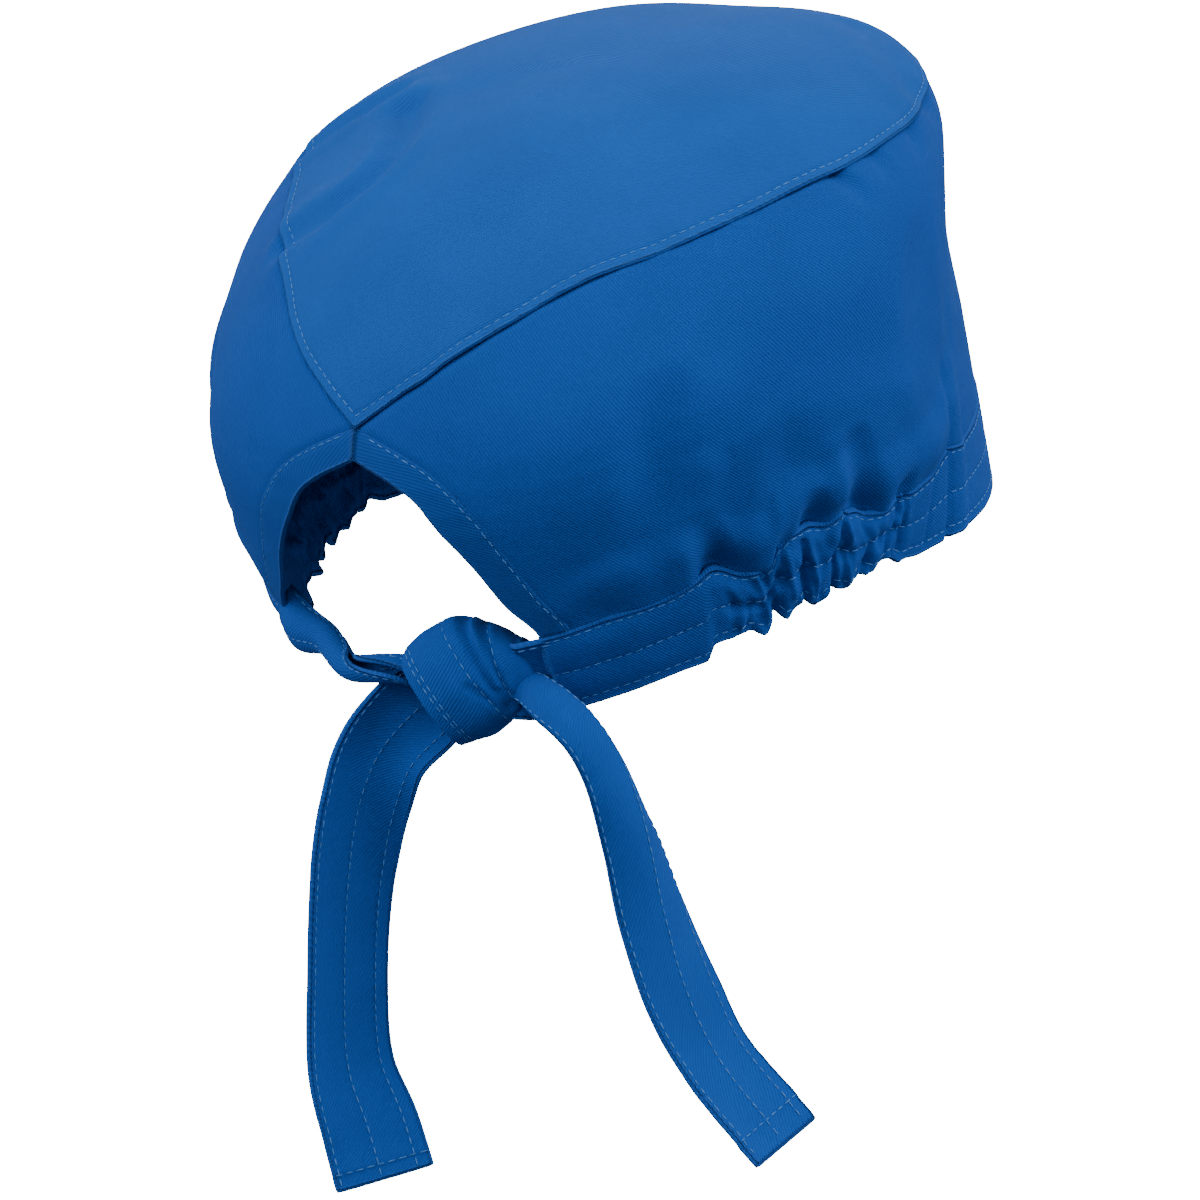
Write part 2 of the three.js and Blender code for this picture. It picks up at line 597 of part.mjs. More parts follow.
// The largest piece of a strip that is left outside the knot
function outsideKnot(geometry) {
  const knot = toManifold(knotBody(PIECE_GAP));
  const pieces = toManifold(geometry).subtract(knot).decompose();
  pieces.sort((a, b) => b.volume() - a.volume());
  const mesh = pieces[0].getMesh();
  const kept = new THREE.BufferGeometry();
  kept.setAttribute('position', new THREE.BufferAttribute(new Float32Array(mesh.vertProperties), 3));
  kept.setIndex(new THREE.BufferAttribute(new Uint32Array(mesh.triVerts), 1));
  kept.computeVertexNormals();
  return kept;
}

// Stations at an end of the band, so that the tie carries on from it in the same direction.
const BAND_END_CUP = 8;     // degrees
function bandEnd(hand) {
  const azimuth = hand * BAND_END;
  const top = panelSkin(azimuth, bandTop(azimuth));
  const bottom = panelSkin(azimuth, bandBottom(azimuth));
  const middle = top.p.clone().lerp(bottom.p, 0.5).addScaledVector(bottom.n, -BAND_WALL / 2);
  const width = top.p.clone().sub(bottom.p).normalize();
  const onward = new THREE.Vector3().crossVectors(width, bottom.n).normalize().multiplyScalar(-hand);
  return [BAND_END_GAP, BAND_END_RUN].map((run) => (
    { at: middle.clone().addScaledVector(onward, run), width, cup: radians(BAND_END_CUP) }
  ));
}

// Quads along each strip
const TAIL_STEPS = 27;
const TIE_LEFT_STEPS = 20;
const TIE_RIGHT_STEPS = 12;

const tailLeft = () => outsideKnot(strip(TAIL_LEFT.map(station), TAIL_STEPS, TIE_WIDTH, TIE_WALL));
const tailRight = () => outsideKnot(strip(TAIL_RIGHT.map(station), TAIL_STEPS, TIE_WIDTH, TIE_WALL));
const tieLeft = () => outsideKnot(
  strip([...bandEnd(-1), ...TIE_LEFT_MIDDLE.map(station)], TIE_LEFT_STEPS, TWISTED_WIDTH, TWISTED_WALL),
);
const tieRight = () => outsideKnot(
  strip([...bandEnd(1), ...TIE_RIGHT_MIDDLE.map(station)], TIE_RIGHT_STEPS, SHORT_TIE_WIDTH, TIE_WALL),
);

const TWILL = { roughness: 0.85, metalness: 0 };
const PIECES = [
  ['crown_panel', crownPanel, 0x2467b0],
  ['side_panel', sidePanel, 0x1a5ba6],
  ['opening_binding_right', () => opening(1), 0x1c5fa9],
  ['opening_binding_left', () => opening(-1), 0x1c5fa9],
  ['hem_band', hemBand, 0x17559c],
  ['tie_right', tieRight, 0x17559c],
  ['tie_left', tieLeft, 0x17559c],
  ['knot', () => knotBody(0), 0x1b5ca6],
  ['tail_right', tailRight, 0x18569d],
  ['tail_left', tailLeft, 0x134f96],
];

const scrubCap = new THREE.Group();
for (const [name, shape, color] of PIECES) {
  const mesh = new THREE.Mesh(shape(), new THREE.MeshStandardMaterial({ ...TWILL, color }));
  mesh.name = name;
  scrubCap.add(mesh);
}

export default scrubCap;
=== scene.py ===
"""Looks of the tie-back scrub cap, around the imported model.

The panels, bindings and band are thin closed shells over the head form of their solids. The ties
and tails are strips through stations, and the knot is a wrap round its own axis. Lengths in the
tables are millimetres, and the pieces are built in metres. The forehead is towards -Y.
"""

import math

import bpy
import numpy as np
from bpy.props import FloatProperty, FloatVectorProperty, PointerProperty
from mathutils import Matrix, Vector
from mathutils.kdtree import KDTree


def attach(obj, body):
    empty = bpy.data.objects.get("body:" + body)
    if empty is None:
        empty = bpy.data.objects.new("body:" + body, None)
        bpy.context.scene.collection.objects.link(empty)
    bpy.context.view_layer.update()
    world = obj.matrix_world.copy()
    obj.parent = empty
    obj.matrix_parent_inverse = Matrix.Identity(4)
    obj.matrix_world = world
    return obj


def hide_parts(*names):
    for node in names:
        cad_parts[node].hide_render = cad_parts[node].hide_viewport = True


bl_info = {
    "name": "Scrub cap",
    "version": (1, 0, 0),
    "blender": (4, 5, 0),
    "location": "View3D > Sidebar > Scrub cap",
    "description": "Builds the cloth, ties and stitching of a tie-back scrub cap",
    "category": "Object",
}

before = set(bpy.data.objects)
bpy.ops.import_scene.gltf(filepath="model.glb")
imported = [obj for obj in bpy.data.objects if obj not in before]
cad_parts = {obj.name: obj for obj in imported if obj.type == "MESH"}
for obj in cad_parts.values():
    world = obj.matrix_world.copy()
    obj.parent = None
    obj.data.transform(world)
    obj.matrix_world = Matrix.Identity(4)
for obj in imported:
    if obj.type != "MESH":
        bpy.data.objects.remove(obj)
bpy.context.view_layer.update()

MM = 0.001
CLOTH_UV = "cloth"


def linear(code):
    """sRGB hex colour as linear red, green and blue."""
    channels = [int(code[i:i + 2], 16) / 255 for i in (1, 3, 5)]
    return [c / 12.92 if c <= 0.04045 else ((c + 0.055) / 1.055) ** 2.4 for c in channels]


# The head form


def columns(names, rows):
    """A table as one array for each named column."""
    return dict(zip(names.split(), np.array(rows, float).T))


CROWN_TOP = 131
CROWN_SHIFT = -26.5
TIPPED_BACK = math.radians(17.5)
WIDEST_AT = 0.6
RIM_MM = 172
KEYHOLE_TOP = 0.57
BINDING_END = 30.5
BAND_END = 26

FORM = columns("azimuth widest widest_at rim rim_at square seam band_top", [
    (0, 99.5, 62.5, 94.5, -7, 2.4, 0.535, 0.87),
    (30, 101.5, 62.5, 90, -2, 2.2, 0.38, 0.86),
    (60, 100.5, 67.5, 84.5, 3, 2.15, 0.345, 0.85),
    (90, 103, 72, 87, 4.5, 2.65, 0.355, 0.865),
    (120, 101, 75.5, 99.5, 2, 2.9, 0.395, 0.87),
    (150, 105.5, 78, 104, 0, 2.85, 0.41, 0.86),
    (180, 112.5, 71, 105, -1.5, 2.5, 0.44, 0.86),
])

KEYHOLE = columns("down edge seam", [
    (0, 0, 0),
    (0.12, 9.5, 12.5),
    (0.3, 14.5, 20),
    (0.5, 18.5, 23.5),
    (0.75, 22, 27),
    (1, 26, 30.5),
])

GATHERS = columns("azimuth rise lift out", [
    (46, 0, 0, 0),
    (51.5, 1, -0.5, 1),
    (53.5, 1.5, 4, -2),
    (59.5, -4, 3.2, -0.5),
    (63.3, -4.5, 0.4, 2.2),
    (65.4, 1, 4.6, -2.2),
    (67.8, 3.3, 1.7, 2.2),
    (70.8, 2.6, 5, -2),
    (74.2, 1.2, 1.5, 2.2),
    (77.4, 2.6, 3.8, -2),
    (80.6, 0, 1.8, 2),
    (84.2, -3.2, 3.8, -1.6),
    (87.2, -3.4, 2.5, 1.8),
    (89.4, -3, 4.8, -1.4),
    (93.5, -2.8, 1.4, 0.4),
    (99, -2, 0, 0),
    (105, 1.5, 0, 0),
    (112, 0, 0, 0),
])

# azimuth, half width, reach upwards, depth of each hollow just above the band
HOLLOWS = [(36, 8, 16, 1.6), (55.5, 6, 19, 3.2), (72, 4.5, 15, 2.6), (82, 5.5, 22, 4), (91.5, 3.5, 12, 1.6)]

# azimuth, half width, share of the meridian, half height as a share, depth
DENTS = [
    (48, 7.5, 0.62, 0.13, 2.4),
    (68, 7, 0.7, 0.09, 1.2),
    (100, 9, 0.58, 0.12, 1.6),
    (128, 12, 0.6, 0.14, 1.8),
]

# azimuth, lean in degrees for each unit of share, length as a share, half width, depth
PUCKERS = [
    (85.5, 40, 0.1, 2.6, 1.7),
    (95, 12, 0.1, 3.2, 1.1),
    (110, -55, 0.08, 3, 1.5),
    (124, -20, 0.08, 3.4, 1.1),
]

# depth, half width, and the line of each crease of the crown as seen from above
CREASES = [
    (2.4, 8, [(52, 74), (41, 73), (33, 66), (32, 56), (37, 45), (45, 34)]),
    (1.8, 7, [(80, 32), (70, 29), (58, 24)]),
    (1, 9, [(-76, -26), (-62, -34), (-46, -44)]),
]

# Folds that only show here: depth, half width in mm, and a line of (azimuth, share) on the
# side panel. A negative depth is a ridge, and each is drawn FOLD_SOFTNESS times as wide.
FOLDS = [
    (1.1, 9, [(49.5, 0.55), (46.5, 0.66), (44, 0.74), (43, 0.79)]),
    (1.5, 5.5, [(52.5, 0.755), (53.5, 0.80), (54, 0.84)]),
    (1.2, 4.5, [(71.5, 0.79), (71.8, 0.84)]),
    (1.6, 5.5, [(80, 0.735), (81.4, 0.80), (82.4, 0.865)]),
    (0.8, 3.5, [(91, 0.855), (91.4, 0.88)]),
    (-0.9, 6, [(54.5, 0.66), (52.5, 0.71), (49, 0.76)]),
    (-0.8, 7, [(63.5, 0.64), (63, 0.72), (62.5, 0.80)]),
    (-0.7, 5, [(76.5, 0.72), (76.3, 0.80)]),
    (0.9, 8, [(36.5, 0.80), (32.5, 0.78)]),
    (0.6, 10, [(60, 0.5), (70, 0.56), (82, 0.6)]),
    (0.5, 7, [(88, 0.62), (97, 0.66), (106, 0.72)]),
    (-0.5, 6, [(92, 0.70), (96, 0.78), (99, 0.83)]),
    (0.5, 5, [(112, 0.66), (109, 0.76)]),
    (0.5, 8, [(140, 0.62), (150, 0.74)]),
    (0.4, 7, [(165, 0.58), (172, 0.70)]),
]
FOLD_SOFTNESS = 1.25
MM_PER_DEGREE = 1.62

TUCK = dict(azimuth=106, half=1.1, depth=1.3, pad_at=109.6, pad_half=3, pad=1, start=0.7, fade=0.05)

# The band's lower edge rolls up from this azimuth to its left end
ROLLED_FROM = -50
ROLLED_LIFT = 11.5

# Small teeth on the gathered lower edge: their height in mm, and how much finer than a ripple
TEETH_HEIGHT = 0.45
TEETH_RATE = 1.3
BLOUSE = dict(out=2.2, at=10, half=11, start=24, end=112, fade=13)


def smooth(x, start, end):
    t = np.clip((np.asarray(x, float) - start) / (end - start), 0, 1)
    return t * t * (3 - 2 * t)


def bump(x):
    """1 in the middle and 0 from a distance of 1."""
    return np.clip(1 - np.square(x), 0, None) ** 2


def through(table, by, key, x, kinked=False):
    """A smooth curve through a column. An open start is level unless it is kinked."""
    xs, ys = table[by], table[key]
    slopes = np.zeros(len(xs))
    slopes[1:-1] = (ys[2:] - ys[:-2]) / (xs[2:] - xs[:-2])
    if kinked:
        slopes[0] = (ys[1] - ys[0]) / (xs[1] - xs[0])
    x = np.asarray(x, float)
    i = np.clip(np.searchsorted(xs, x) - 1, 0, len(xs) - 2)
    h = xs[i + 1] - xs[i]
    t = np.clip((x - xs[i]) / h, 0, 1)
    t2, t3 = t * t, t * t * t
    return ((2 * t3 - 3 * t2 + 1) * ys[i] + (t3 - 2 * t2 + t) * h * slopes[i]
            + (3 * t2 - 2 * t3) * ys[i + 1] + (t3 - t2) * h * slopes[i + 1])


def wave(key, x):
    """A gathers column, whose rows are the crests and hollows of a wave."""
    xs, ys = GATHERS["azimuth"], GATHERS[key]
    i = np.clip(np.searchsorted(xs, x) - 1, 0, len(xs) - 2)
    w = smooth(x, xs[i], xs[i + 1])
    return np.where((x > xs[0]) & (x < xs[-1]), ys[i] + (ys[i + 1] - ys[i]) * w, 0)


LEFT_SHIFT = 2.5
LEFT_SHARE = 0.9


def mirrored(azimuth):
    return np.where(azimuth < 0, -azimuth - LEFT_SHIFT, azimuth)


def share(azimuth):
    return np.where(azimuth < 0, LEFT_SHARE, 1)


def form(key, azimuth, kinked=False):
    return through(FORM, "azimuth", key, np.abs(azimuth), kinked)


def crown_seam(azimuth):
    return form("seam", azimuth, True)


def drawn_up(azimuth):
    """How much the elastic gathers the band here, from 0 to 1."""
    side = mirrored(azimuth)
    return smooth(side, 52, 60) * (1 - smooth(side, 90, 97)) * share(azimuth)


def band_top(azimuth):
    return form("band_top", azimuth) - share(azimuth) * wave("rise", mirrored(azimuth)) / RIM_MM


def band_bottom(azimuth):
    rolled = np.where(azimuth < 0, 1 - smooth(-azimuth, BAND_END, -ROLLED_FROM), 0)
    lift = share(azimuth) * wave("lift", mirrored(azimuth)) + rolled * ROLLED_LIFT
    teeth = TEETH_HEIGHT * drawn_up(azimuth) * ripple(azimuth * MM_PER_DEGREE * TEETH_RATE, 3)
    return 1 - (lift + teeth) / RIM_MM


def two_part_form(azimuth, s):
    """Points of the head form as the solids have it: one curve above its widest line, one below."""
    azimuth, s = np.broadcast_arrays(np.asarray(azimuth, float), np.asarray(s, float))
    widest, widest_at = form("widest", azimuth), form("widest_at", azimuth)
    rim, rim_at = form("rim", azimuth), form("rim_at", azimuth)
    power = 2 / form("square", azimuth)
    quarter = np.clip(s / WIDEST_AT, 0, 1) * math.pi / 2
    v = (s - WIDEST_AT) / (1 - WIDEST_AT)
    upper = s <= WIDEST_AT
    r = np.where(upper, widest * np.sin(quarter) ** power, widest - (widest - rim) * v * v)
    rise = np.clip(np.cos(quarter), 0, None) ** power
    z = np.where(upper, widest_at + (CROWN_TOP - widest_at) * rise, widest_at - (widest_at - rim_at) * v)
    forward = CROWN_SHIFT * np.clip((z - widest_at) / (CROWN_TOP - widest_at), 0, 1)
    turn = np.radians(azimuth)
    x, y = -r * np.sin(turn), r * np.cos(turn) + forward
    c, k = math.cos(TIPPED_BACK), math.sin(TIPPED_BACK)
    return np.stack([x, y * c + z * k, z * c - y * k], -1)


EASED = 0.14

# Steps along the meridian as shares of the reach, and the weight of each in the mean
EASING = ((-1, 0.12), (-0.5, 0.23), (0, 0.3), (0.5, 0.23), (1, 0.12))


def bare(azimuth, s):
    """Points of the head form, eased where its two curves meet so that no line shows there."""
    reach = EASED / 2 * bump((np.asarray(s, float) - WIDEST_AT) / (2 * EASED))
    return sum(part * two_part_form(azimuth, s + reach * step) for step, part in EASING)


def unit(v):
    return v / np.linalg.norm(v, axis=-1, keepdims=True)


def outward(azimuth, s):
    at = np.maximum(s, 0.024)
    around = bare(azimuth + 1, at) - bare(azimuth - 1, at)
    down = bare(azimuth, at + 0.012) - bare(azimuth, at - 0.012)
    return unit(np.cross(down, around))


def away_from(line, x, y):
    """Distance to a line of short straight pieces."""
    nearest = np.full(np.broadcast(x, y).shape, np.inf)
    for (ax, ay), (bx, by) in zip(line[:-1], line[1:]):
        dx, dy = bx - ax, by - ay
        t = np.clip(((x - ax) * dx + (y - ay) * dy) / (dx * dx + dy * dy), 0, 1)
        nearest = np.minimum(nearest, np.hypot(x - ax - t * dx, y - ay - t * dy))
    return nearest


def crease_relief(point):
    out = 0
    for depth, half, line in CREASES:
        away = away_from(line, point[..., 0], point[..., 1])
        out = out - depth * bump(away / half) + 0.4 * depth * bump((away - half) / half)
    return out


def ripple(along, seed):
    """Uneven little waves along a seam, from -1 to 1."""
    return (np.sin(along / 1.9 + 2.1 * seed) * 0.5 + np.sin(along / 3.1 + 5.3 * seed) * 0.3
            + np.sin(along / 5.7 + seed) * 0.4)


def rim_ripple(azimuth, seed, coarse=1):
    """Uneven little waves round the rim, which fade out at the middle of the forehead."""
    return ripple(azimuth * MM_PER_DEGREE * coarse, seed) * (1 - smooth(np.abs(azimuth), 165, 179))


def onward_mm(azimuth):
    """Distance round the rim from the nape, over the forehead to the nape again."""
    return np.mod(azimuth, 360) * MM_PER_DEGREE


def panel_relief(azimuth, s, point):
    side, amount = mirrored(azimuth), share(azimuth)
    above = (band_top(azimuth) - s) * RIM_MM
    band = RIM_MM * (band_bottom(azimuth) - band_top(azimuth))
    pleat = 0.3 + 0.7 * smooth(-above, 0, band * 0.55)
    out = amount * wave("out", side) * pleat * smooth(-above, -8, 0)
    for at, half, reach, depth in HOLLOWS:
        height = smooth(above, -5, 3) * (1 - smooth(above, 3, reach))
        out = out - amount * depth * bump((side - at) / half) * height
    for at, half, level, tall, depth in DENTS:
        out = out - amount * depth * bump((side - at) / half) * bump((s - level) / tall)
    below = s - crown_seam(azimuth)
    for at, lean, long, half, depth in PUCKERS:
        fade = 1 - smooth(below, 0, long)
        out = out - amount * depth * bump((side - at - lean * below) / half) * fade
    out = out + crease_relief(point) * (1 - smooth(below, 0, 0.06))
    tucked = smooth(s, TUCK["start"], TUCK["start"] + TUCK["fade"])
    out = out - tucked * TUCK["depth"] * bump((side - TUCK["azimuth"]) / TUCK["half"])
    out = out + tucked * TUCK["pad"] * bump((side - TUCK["pad_at"]) / TUCK["pad_half"])
    ears = (smooth(side, BLOUSE["start"], BLOUSE["start"] + BLOUSE["fade"])
            * (1 - smooth(side, BLOUSE["end"] - BLOUSE["fade"], BLOUSE["end"])))
    return out + ears * BLOUSE["out"] * bump((above - BLOUSE["at"]) / BLOUSE["half"])


def fold_relief(azimuth, s):
    """The softer folds of the side panel, and small ripples at its seams."""
    side, amount = mirrored(azimuth), share(azimuth)
    out = 0
    for depth, half, line in FOLDS:
        scaled = [(a * MM_PER_DEGREE, b * RIM_MM) for a, b in line]
        away = away_from(scaled, side * MM_PER_DEGREE, s * RIM_MM)
        out = out - amount * depth * bump(away / half / FOLD_SOFTNESS)
    under_seam = (s - crown_seam(azimuth)) * RIM_MM
    over_band = (band_top(azimuth) - s) * RIM_MM
    out = out + 0.16 * rim_ripple(azimuth, 1) * bump(under_seam / 9)
    return out + 0.22 * rim_ripple(azimuth, 2) * bump(over_band / 8)


# Shells


def new_piece(name, points, faces, uv, material, rub=None):
    """A mesh object from points in mm, with a cloth UV map in metres, turned to face out."""
    points = np.asarray(points, float) * MM
    mesh = bpy.data.meshes.new(name)
    mesh.from_pydata(points.tolist(), [], faces)
    mesh.calc_loop_triangles()
    corners = np.zeros(len(mesh.loop_triangles) * 3, np.int32)
    mesh.loop_triangles.foreach_get("vertices", corners)
    a, b, c = points[corners.reshape(-1, 3)].transpose(1, 0, 2)
    if np.sum(a * np.cross(b, c)) < 0:
        mesh.flip_normals()
    at = np.zeros(len(mesh.loops), np.int32)
    mesh.loops.foreach_get("vertex_index", at)
    layer = mesh.uv_layers.new(name=CLOTH_UV)
    layer.data.foreach_set("uv", (np.asarray(uv, float)[at] * MM).astype(np.float32).ravel())
    wear = mesh.attributes.new("rub", "FLOAT", "POINT")
    rub = np.zeros(len(points)) if rub is None else rub
    wear.data.foreach_set("value", np.asarray(rub, np.float32))
    mesh.polygons.foreach_set("use_smooth", np.ones(len(mesh.polygons), bool))
    mesh.materials.append(material)
    piece = bpy.data.objects.new(name, mesh)
    bpy.context.scene.collection.objects.link(piece)
    return piece


def quads(a, b, c, d):
    return np.stack([a, b, c, d], -1).reshape(-1, 4).tolist()


ROUND_EDGE = (math.radians(38), math.radians(90), math.radians(142))
RUB_REACH = 1.2


def edge_rub(points, rim):
    """How much each point is rubbed pale, from 0 to 1 at the folded edge."""
    tree = KDTree(len(rim))
    for i, p in enumerate(rim):
        tree.insert(p, i)
    tree.balance()
    return np.array([max(0.0, 1 - tree.find(p)[2] / RUB_REACH) for p in points])


def shell(name, outer, normal, thickness, uv, material, ring=False):
    """A wall of cloth over a grid of outer points, with half-round edges.

    A ring's columns close on themselves, and its first row is closed by one point.
    """
    rows, cols = outer.shape[:2]
    inner = outer - normal * thickness
    count = rows * cols
    flat, flat_n, flat_uv = outer.reshape(-1, 3), normal.reshape(-1, 3), uv.reshape(-1, 2)
    points, uvs = [flat, inner.reshape(-1, 3)], [flat_uv, flat_uv]
    index = np.arange(count).reshape(rows, cols)
    if ring:
        index = np.concatenate([index, index[:, :1]], 1)
        loop, out = index[-1, :-1], outer[-1] - outer[-2]
    else:
        loop = np.concatenate([index[-1, :], index[::-1, -1][1:], index[0, ::-1][1:], index[1:-1, 0]])
        out = np.zeros((rows, cols, 3))
        out[-1] += unit(outer[-1] - outer[-2])
        out[0] += unit(outer[0] - outer[1])
        out[:, -1] += unit(outer[:, -1] - outer[:, -2])
        out[:, 0] += unit(outer[:, 0] - outer[:, 1])
        out = out.reshape(-1, 3)[loop]
    a, b, c, d = index[:-1, :-1], index[:-1, 1:], index[1:, 1:], index[1:, :-1]
    faces = quads(a, b, c, d) + quads(a + count, d + count, c + count, b + count)
    out = unit(out - flat_n[loop] * np.sum(out * flat_n[loop], -1, keepdims=True))
    before, total = loop, 2 * count
    for angle in ROUND_EDGE:
        swing = flat_n[loop] * math.cos(angle) + out * math.sin(angle)
        points.append(flat[loop] - flat_n[loop] * thickness / 2 + swing * thickness / 2)
        uvs.append(flat_uv[loop])
        here = np.arange(total, total + len(loop))
        total += len(loop)
        faces += quads(before, here, np.roll(here, -1), np.roll(before, -1))
        before = here
    last = loop + count
    faces += quads(before, last, np.roll(last, -1), np.roll(before, -1))
    if ring:
        middle = outer[0].mean(0)
        points.append(np.array([middle, middle - unit(normal[0].mean(0)) * thickness]))
        uvs.append(np.zeros((2, 2)))
        pairs = [(int(index[0, k]), int(index[0, k + 1])) for k in range(cols)]
        faces += [[total, after, here] for here, after in pairs]
        faces += [[total + 1, here + count, after + count] for here, after in pairs]
    points = np.concatenate(points)
    rub = np.zeros(len(points))
    rub[:count] = edge_rub(flat, flat[loop])
    rub[2 * count:] = 1
    if ring:
        rub[-2:] = 0
    return new_piece(name, points, faces, np.concatenate(uvs), material, rub)


def declare(piece, node):
    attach(piece, "root")
    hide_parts(node)


# Materials


def add(tree, kind, values=None, links=None, **settings):
    """Adds a node with its settings, the values of its sockets and the links into them."""
    made = tree.nodes.new(kind)
    for key, value in settings.items():
        setattr(made, key, value)
    for socket, value in (values or {}).items():
        made.inputs[socket].default_value = value
    for socket, source in (links or {}).items():
        tree.links.new(source, made.inputs[socket])
    return made


# A wave texture repeats once in this length at a scale of 1
WAVE_PERIOD = math.pi / 10


def twill(name, colour, lean, relief, tone, pitch=0.85, grain=0.55):
    """Royal blue polyester-cotton twill, piece-dyed and washed.

    Fine slanting ribs with a soft matt face. A real rib is about 0.5 mm wide, and is drawn a
    little coarser so that it shows. Folded edges are rubbed a shade paler.
    """
    material = bpy.data.materials.new(name)
    material.use_nodes = True
    tree = material.node_tree
    tree.nodes.clear()
    uv = add(tree, "ShaderNodeUVMap", uv_map=CLOTH_UV)
    across = add(tree, "ShaderNodeMapping", {"Rotation": (0, 0, math.radians(lean))},
                 {"Vector": uv.outputs[0]})
    rib = add(tree, "ShaderNodeTexWave",
              {"Scale": WAVE_PERIOD / (pitch * MM), "Distortion": 0.9, "Detail": 2, "Detail Scale": 0.35},
              {"Vector": across.outputs[0]}, wave_type="BANDS", bands_direction="X", wave_profile="SIN")
    drawn = add(tree, "ShaderNodeMapping", {"Scale": (1, 0.4, 1)}, {"Vector": across.outputs[0]})
    yarn = add(tree, "ShaderNodeTexNoise", {"Scale": 1500, "Detail": 2, "Roughness": 0.6},
               {"Vector": drawn.outputs[0]})
    place = add(tree, "ShaderNodeTexCoord")
    cloud = add(tree, "ShaderNodeTexNoise", {"Scale": 42, "Detail": 3, "Roughness": 0.55},
                {"Vector": place.outputs["Object"]})
    height = add(tree, "ShaderNodeMath", {1: grain}, {0: yarn.outputs[0], 2: rib.outputs["Fac"]},
                 operation="MULTIPLY_ADD")
    weave = add(tree, "ShaderNodeMapRange",
                {"From Min": 0.1, "From Max": 0.9 + grain,
                 "To Min": 1 - 0.3 * tone, "To Max": 1 + 0.26 * tone},
                {"Value": height.outputs[0]})
    washed = add(tree, "ShaderNodeMapRange",
                 {"From Min": 0.3, "From Max": 0.7, "To Min": 0.95, "To Max": 1.06},
                 {"Value": cloud.outputs[0]})
    shade = add(tree, "ShaderNodeMath", links={0: weave.outputs[0], 1: washed.outputs[0]},
                operation="MULTIPLY")
    tint = add(tree, "ShaderNodeVectorMath", {0: tuple(colour)}, operation="SCALE",
               links={"Scale": shade.outputs[0]})
    worn = add(tree, "ShaderNodeAttribute", attribute_name="rub")
    rubbed = add(tree, "ShaderNodeMath", {1: 0.1}, {0: worn.outputs["Fac"]}, operation="MULTIPLY")
    pale = tuple(0.72 * c + 0.28 * w for c, w in zip(colour, (0.25, 0.5, 0.9)))
    final = add(tree, "ShaderNodeMix", {7: (*pale, 1)}, {0: rubbed.outputs[0], 6: tint.outputs[0]},
                data_type="RGBA")
    bumps = add(tree, "ShaderNodeBump", {"Strength": 0.8, "Distance": relief * MM},
                {"Height": height.outputs[0]})
    rough = add(tree, "ShaderNodeMapRange",
                {"From Min": 0.1, "From Max": 1.4, "To Min": 0.94, "To Max": 0.78},
                {"Value": height.outputs[0]})
    cloth = add(tree, "ShaderNodeBsdfPrincipled",
                {"IOR": 1.5, "Specular IOR Level": 0.12, "Sheen Weight": 0.05, "Sheen Roughness": 0.5,
                 "Sheen Tint": (0.55, 0.75, 1, 1)},
                {"Base Color": final.outputs[2], "Roughness": rough.outputs[0], "Normal": bumps.outputs[0]})
    add(tree, "ShaderNodeOutputMaterial", links={"Surface": cloth.outputs[0]})
    return material


def sewing_thread(name, colour):
    """Spun polyester sewing thread, tonal and a little glossier than the cloth it lies on."""
    material = bpy.data.materials.new(name)
    material.use_nodes = True
    tree = material.node_tree
    tree.nodes.clear()
    place = add(tree, "ShaderNodeTexCoord")
    plies = add(tree, "ShaderNodeTexNoise", {"Scale": 2600, "Detail": 1}, {"Vector": place.outputs["Object"]})
    shade = add(tree, "ShaderNodeMapRange",
                {"From Min": 0.3, "From Max": 0.7, "To Min": 0.75, "To Max": 1.15},
                {"Value": plies.outputs[0]})
    tint = add(tree, "ShaderNodeVectorMath", {0: tuple(colour)}, {"Scale": shade.outputs[0]},
               operation="SCALE")
    shine = add(tree, "ShaderNodeBsdfPrincipled", {"IOR": 1.55, "Roughness": 0.5},
                {"Base Color": tint.outputs[0]})
    add(tree, "ShaderNodeOutputMaterial", links={"Surface": shine.outputs[0]})
    return material


def plain_floor():
    """Matt seamless paper, lit from behind so that it stays white in the picture."""
    material = bpy.data.materials.new("matt paper")
    material.use_nodes = True
    paper = material.node_tree.nodes["Principled BSDF"]
    paper.inputs["Base Color"].default_value = (*linear("#f6f7f8"), 1)
    paper.inputs["Roughness"].default_value = 0.95
    paper.inputs["Emission Color"].default_value = (*linear("#ffffff"), 1)
    paper.inputs["Emission Strength"].default_value = 20
    return material


PANEL_WEAVE = dict(pitch=0.72, relief=0.11, tone=0.42, grain=0.8)

# The name, the colour setting, the lean of the ribs in degrees and the weave of each cloth
TWILLS = {
    "crown": ("crown twill", "crown", -40, dict(pitch=0.62, relief=0.1, tone=0.32, grain=1.5)),
    "side": ("side twill", "side", -48, PANEL_WEAVE),
    "binding_right": ("binding twill right", "binding", -35, dict(relief=0.1, tone=0.3)),
    "binding_left": ("binding twill left", "binding", 55, dict(relief=0.1, tone=0.3)),
    "band": ("band twill", "band", -48, PANEL_WEAVE),
    "tie": ("tie twill", "tie", -42, dict(pitch=0.8, relief=0.12, tone=0.38)),
    "knot": ("knot twill", "tie", -66, dict(pitch=0.75, relief=0.14, tone=0.5)),
}

_made = {}


def cloth(key):
    """The shared material of a kind of piece, made when it is first asked for."""
    if key not in _made:
        colours = bpy.context.scene.scrub_cap_colours
        if key == "thread":
            _made[key] = sewing_thread("tonal thread", colours.thread)
        else:
            name, colour, lean, weave = TWILLS[key]
            _made[key] = twill(name, getattr(colours, colour), lean, **weave)
    return _made[key]


# Panels and band


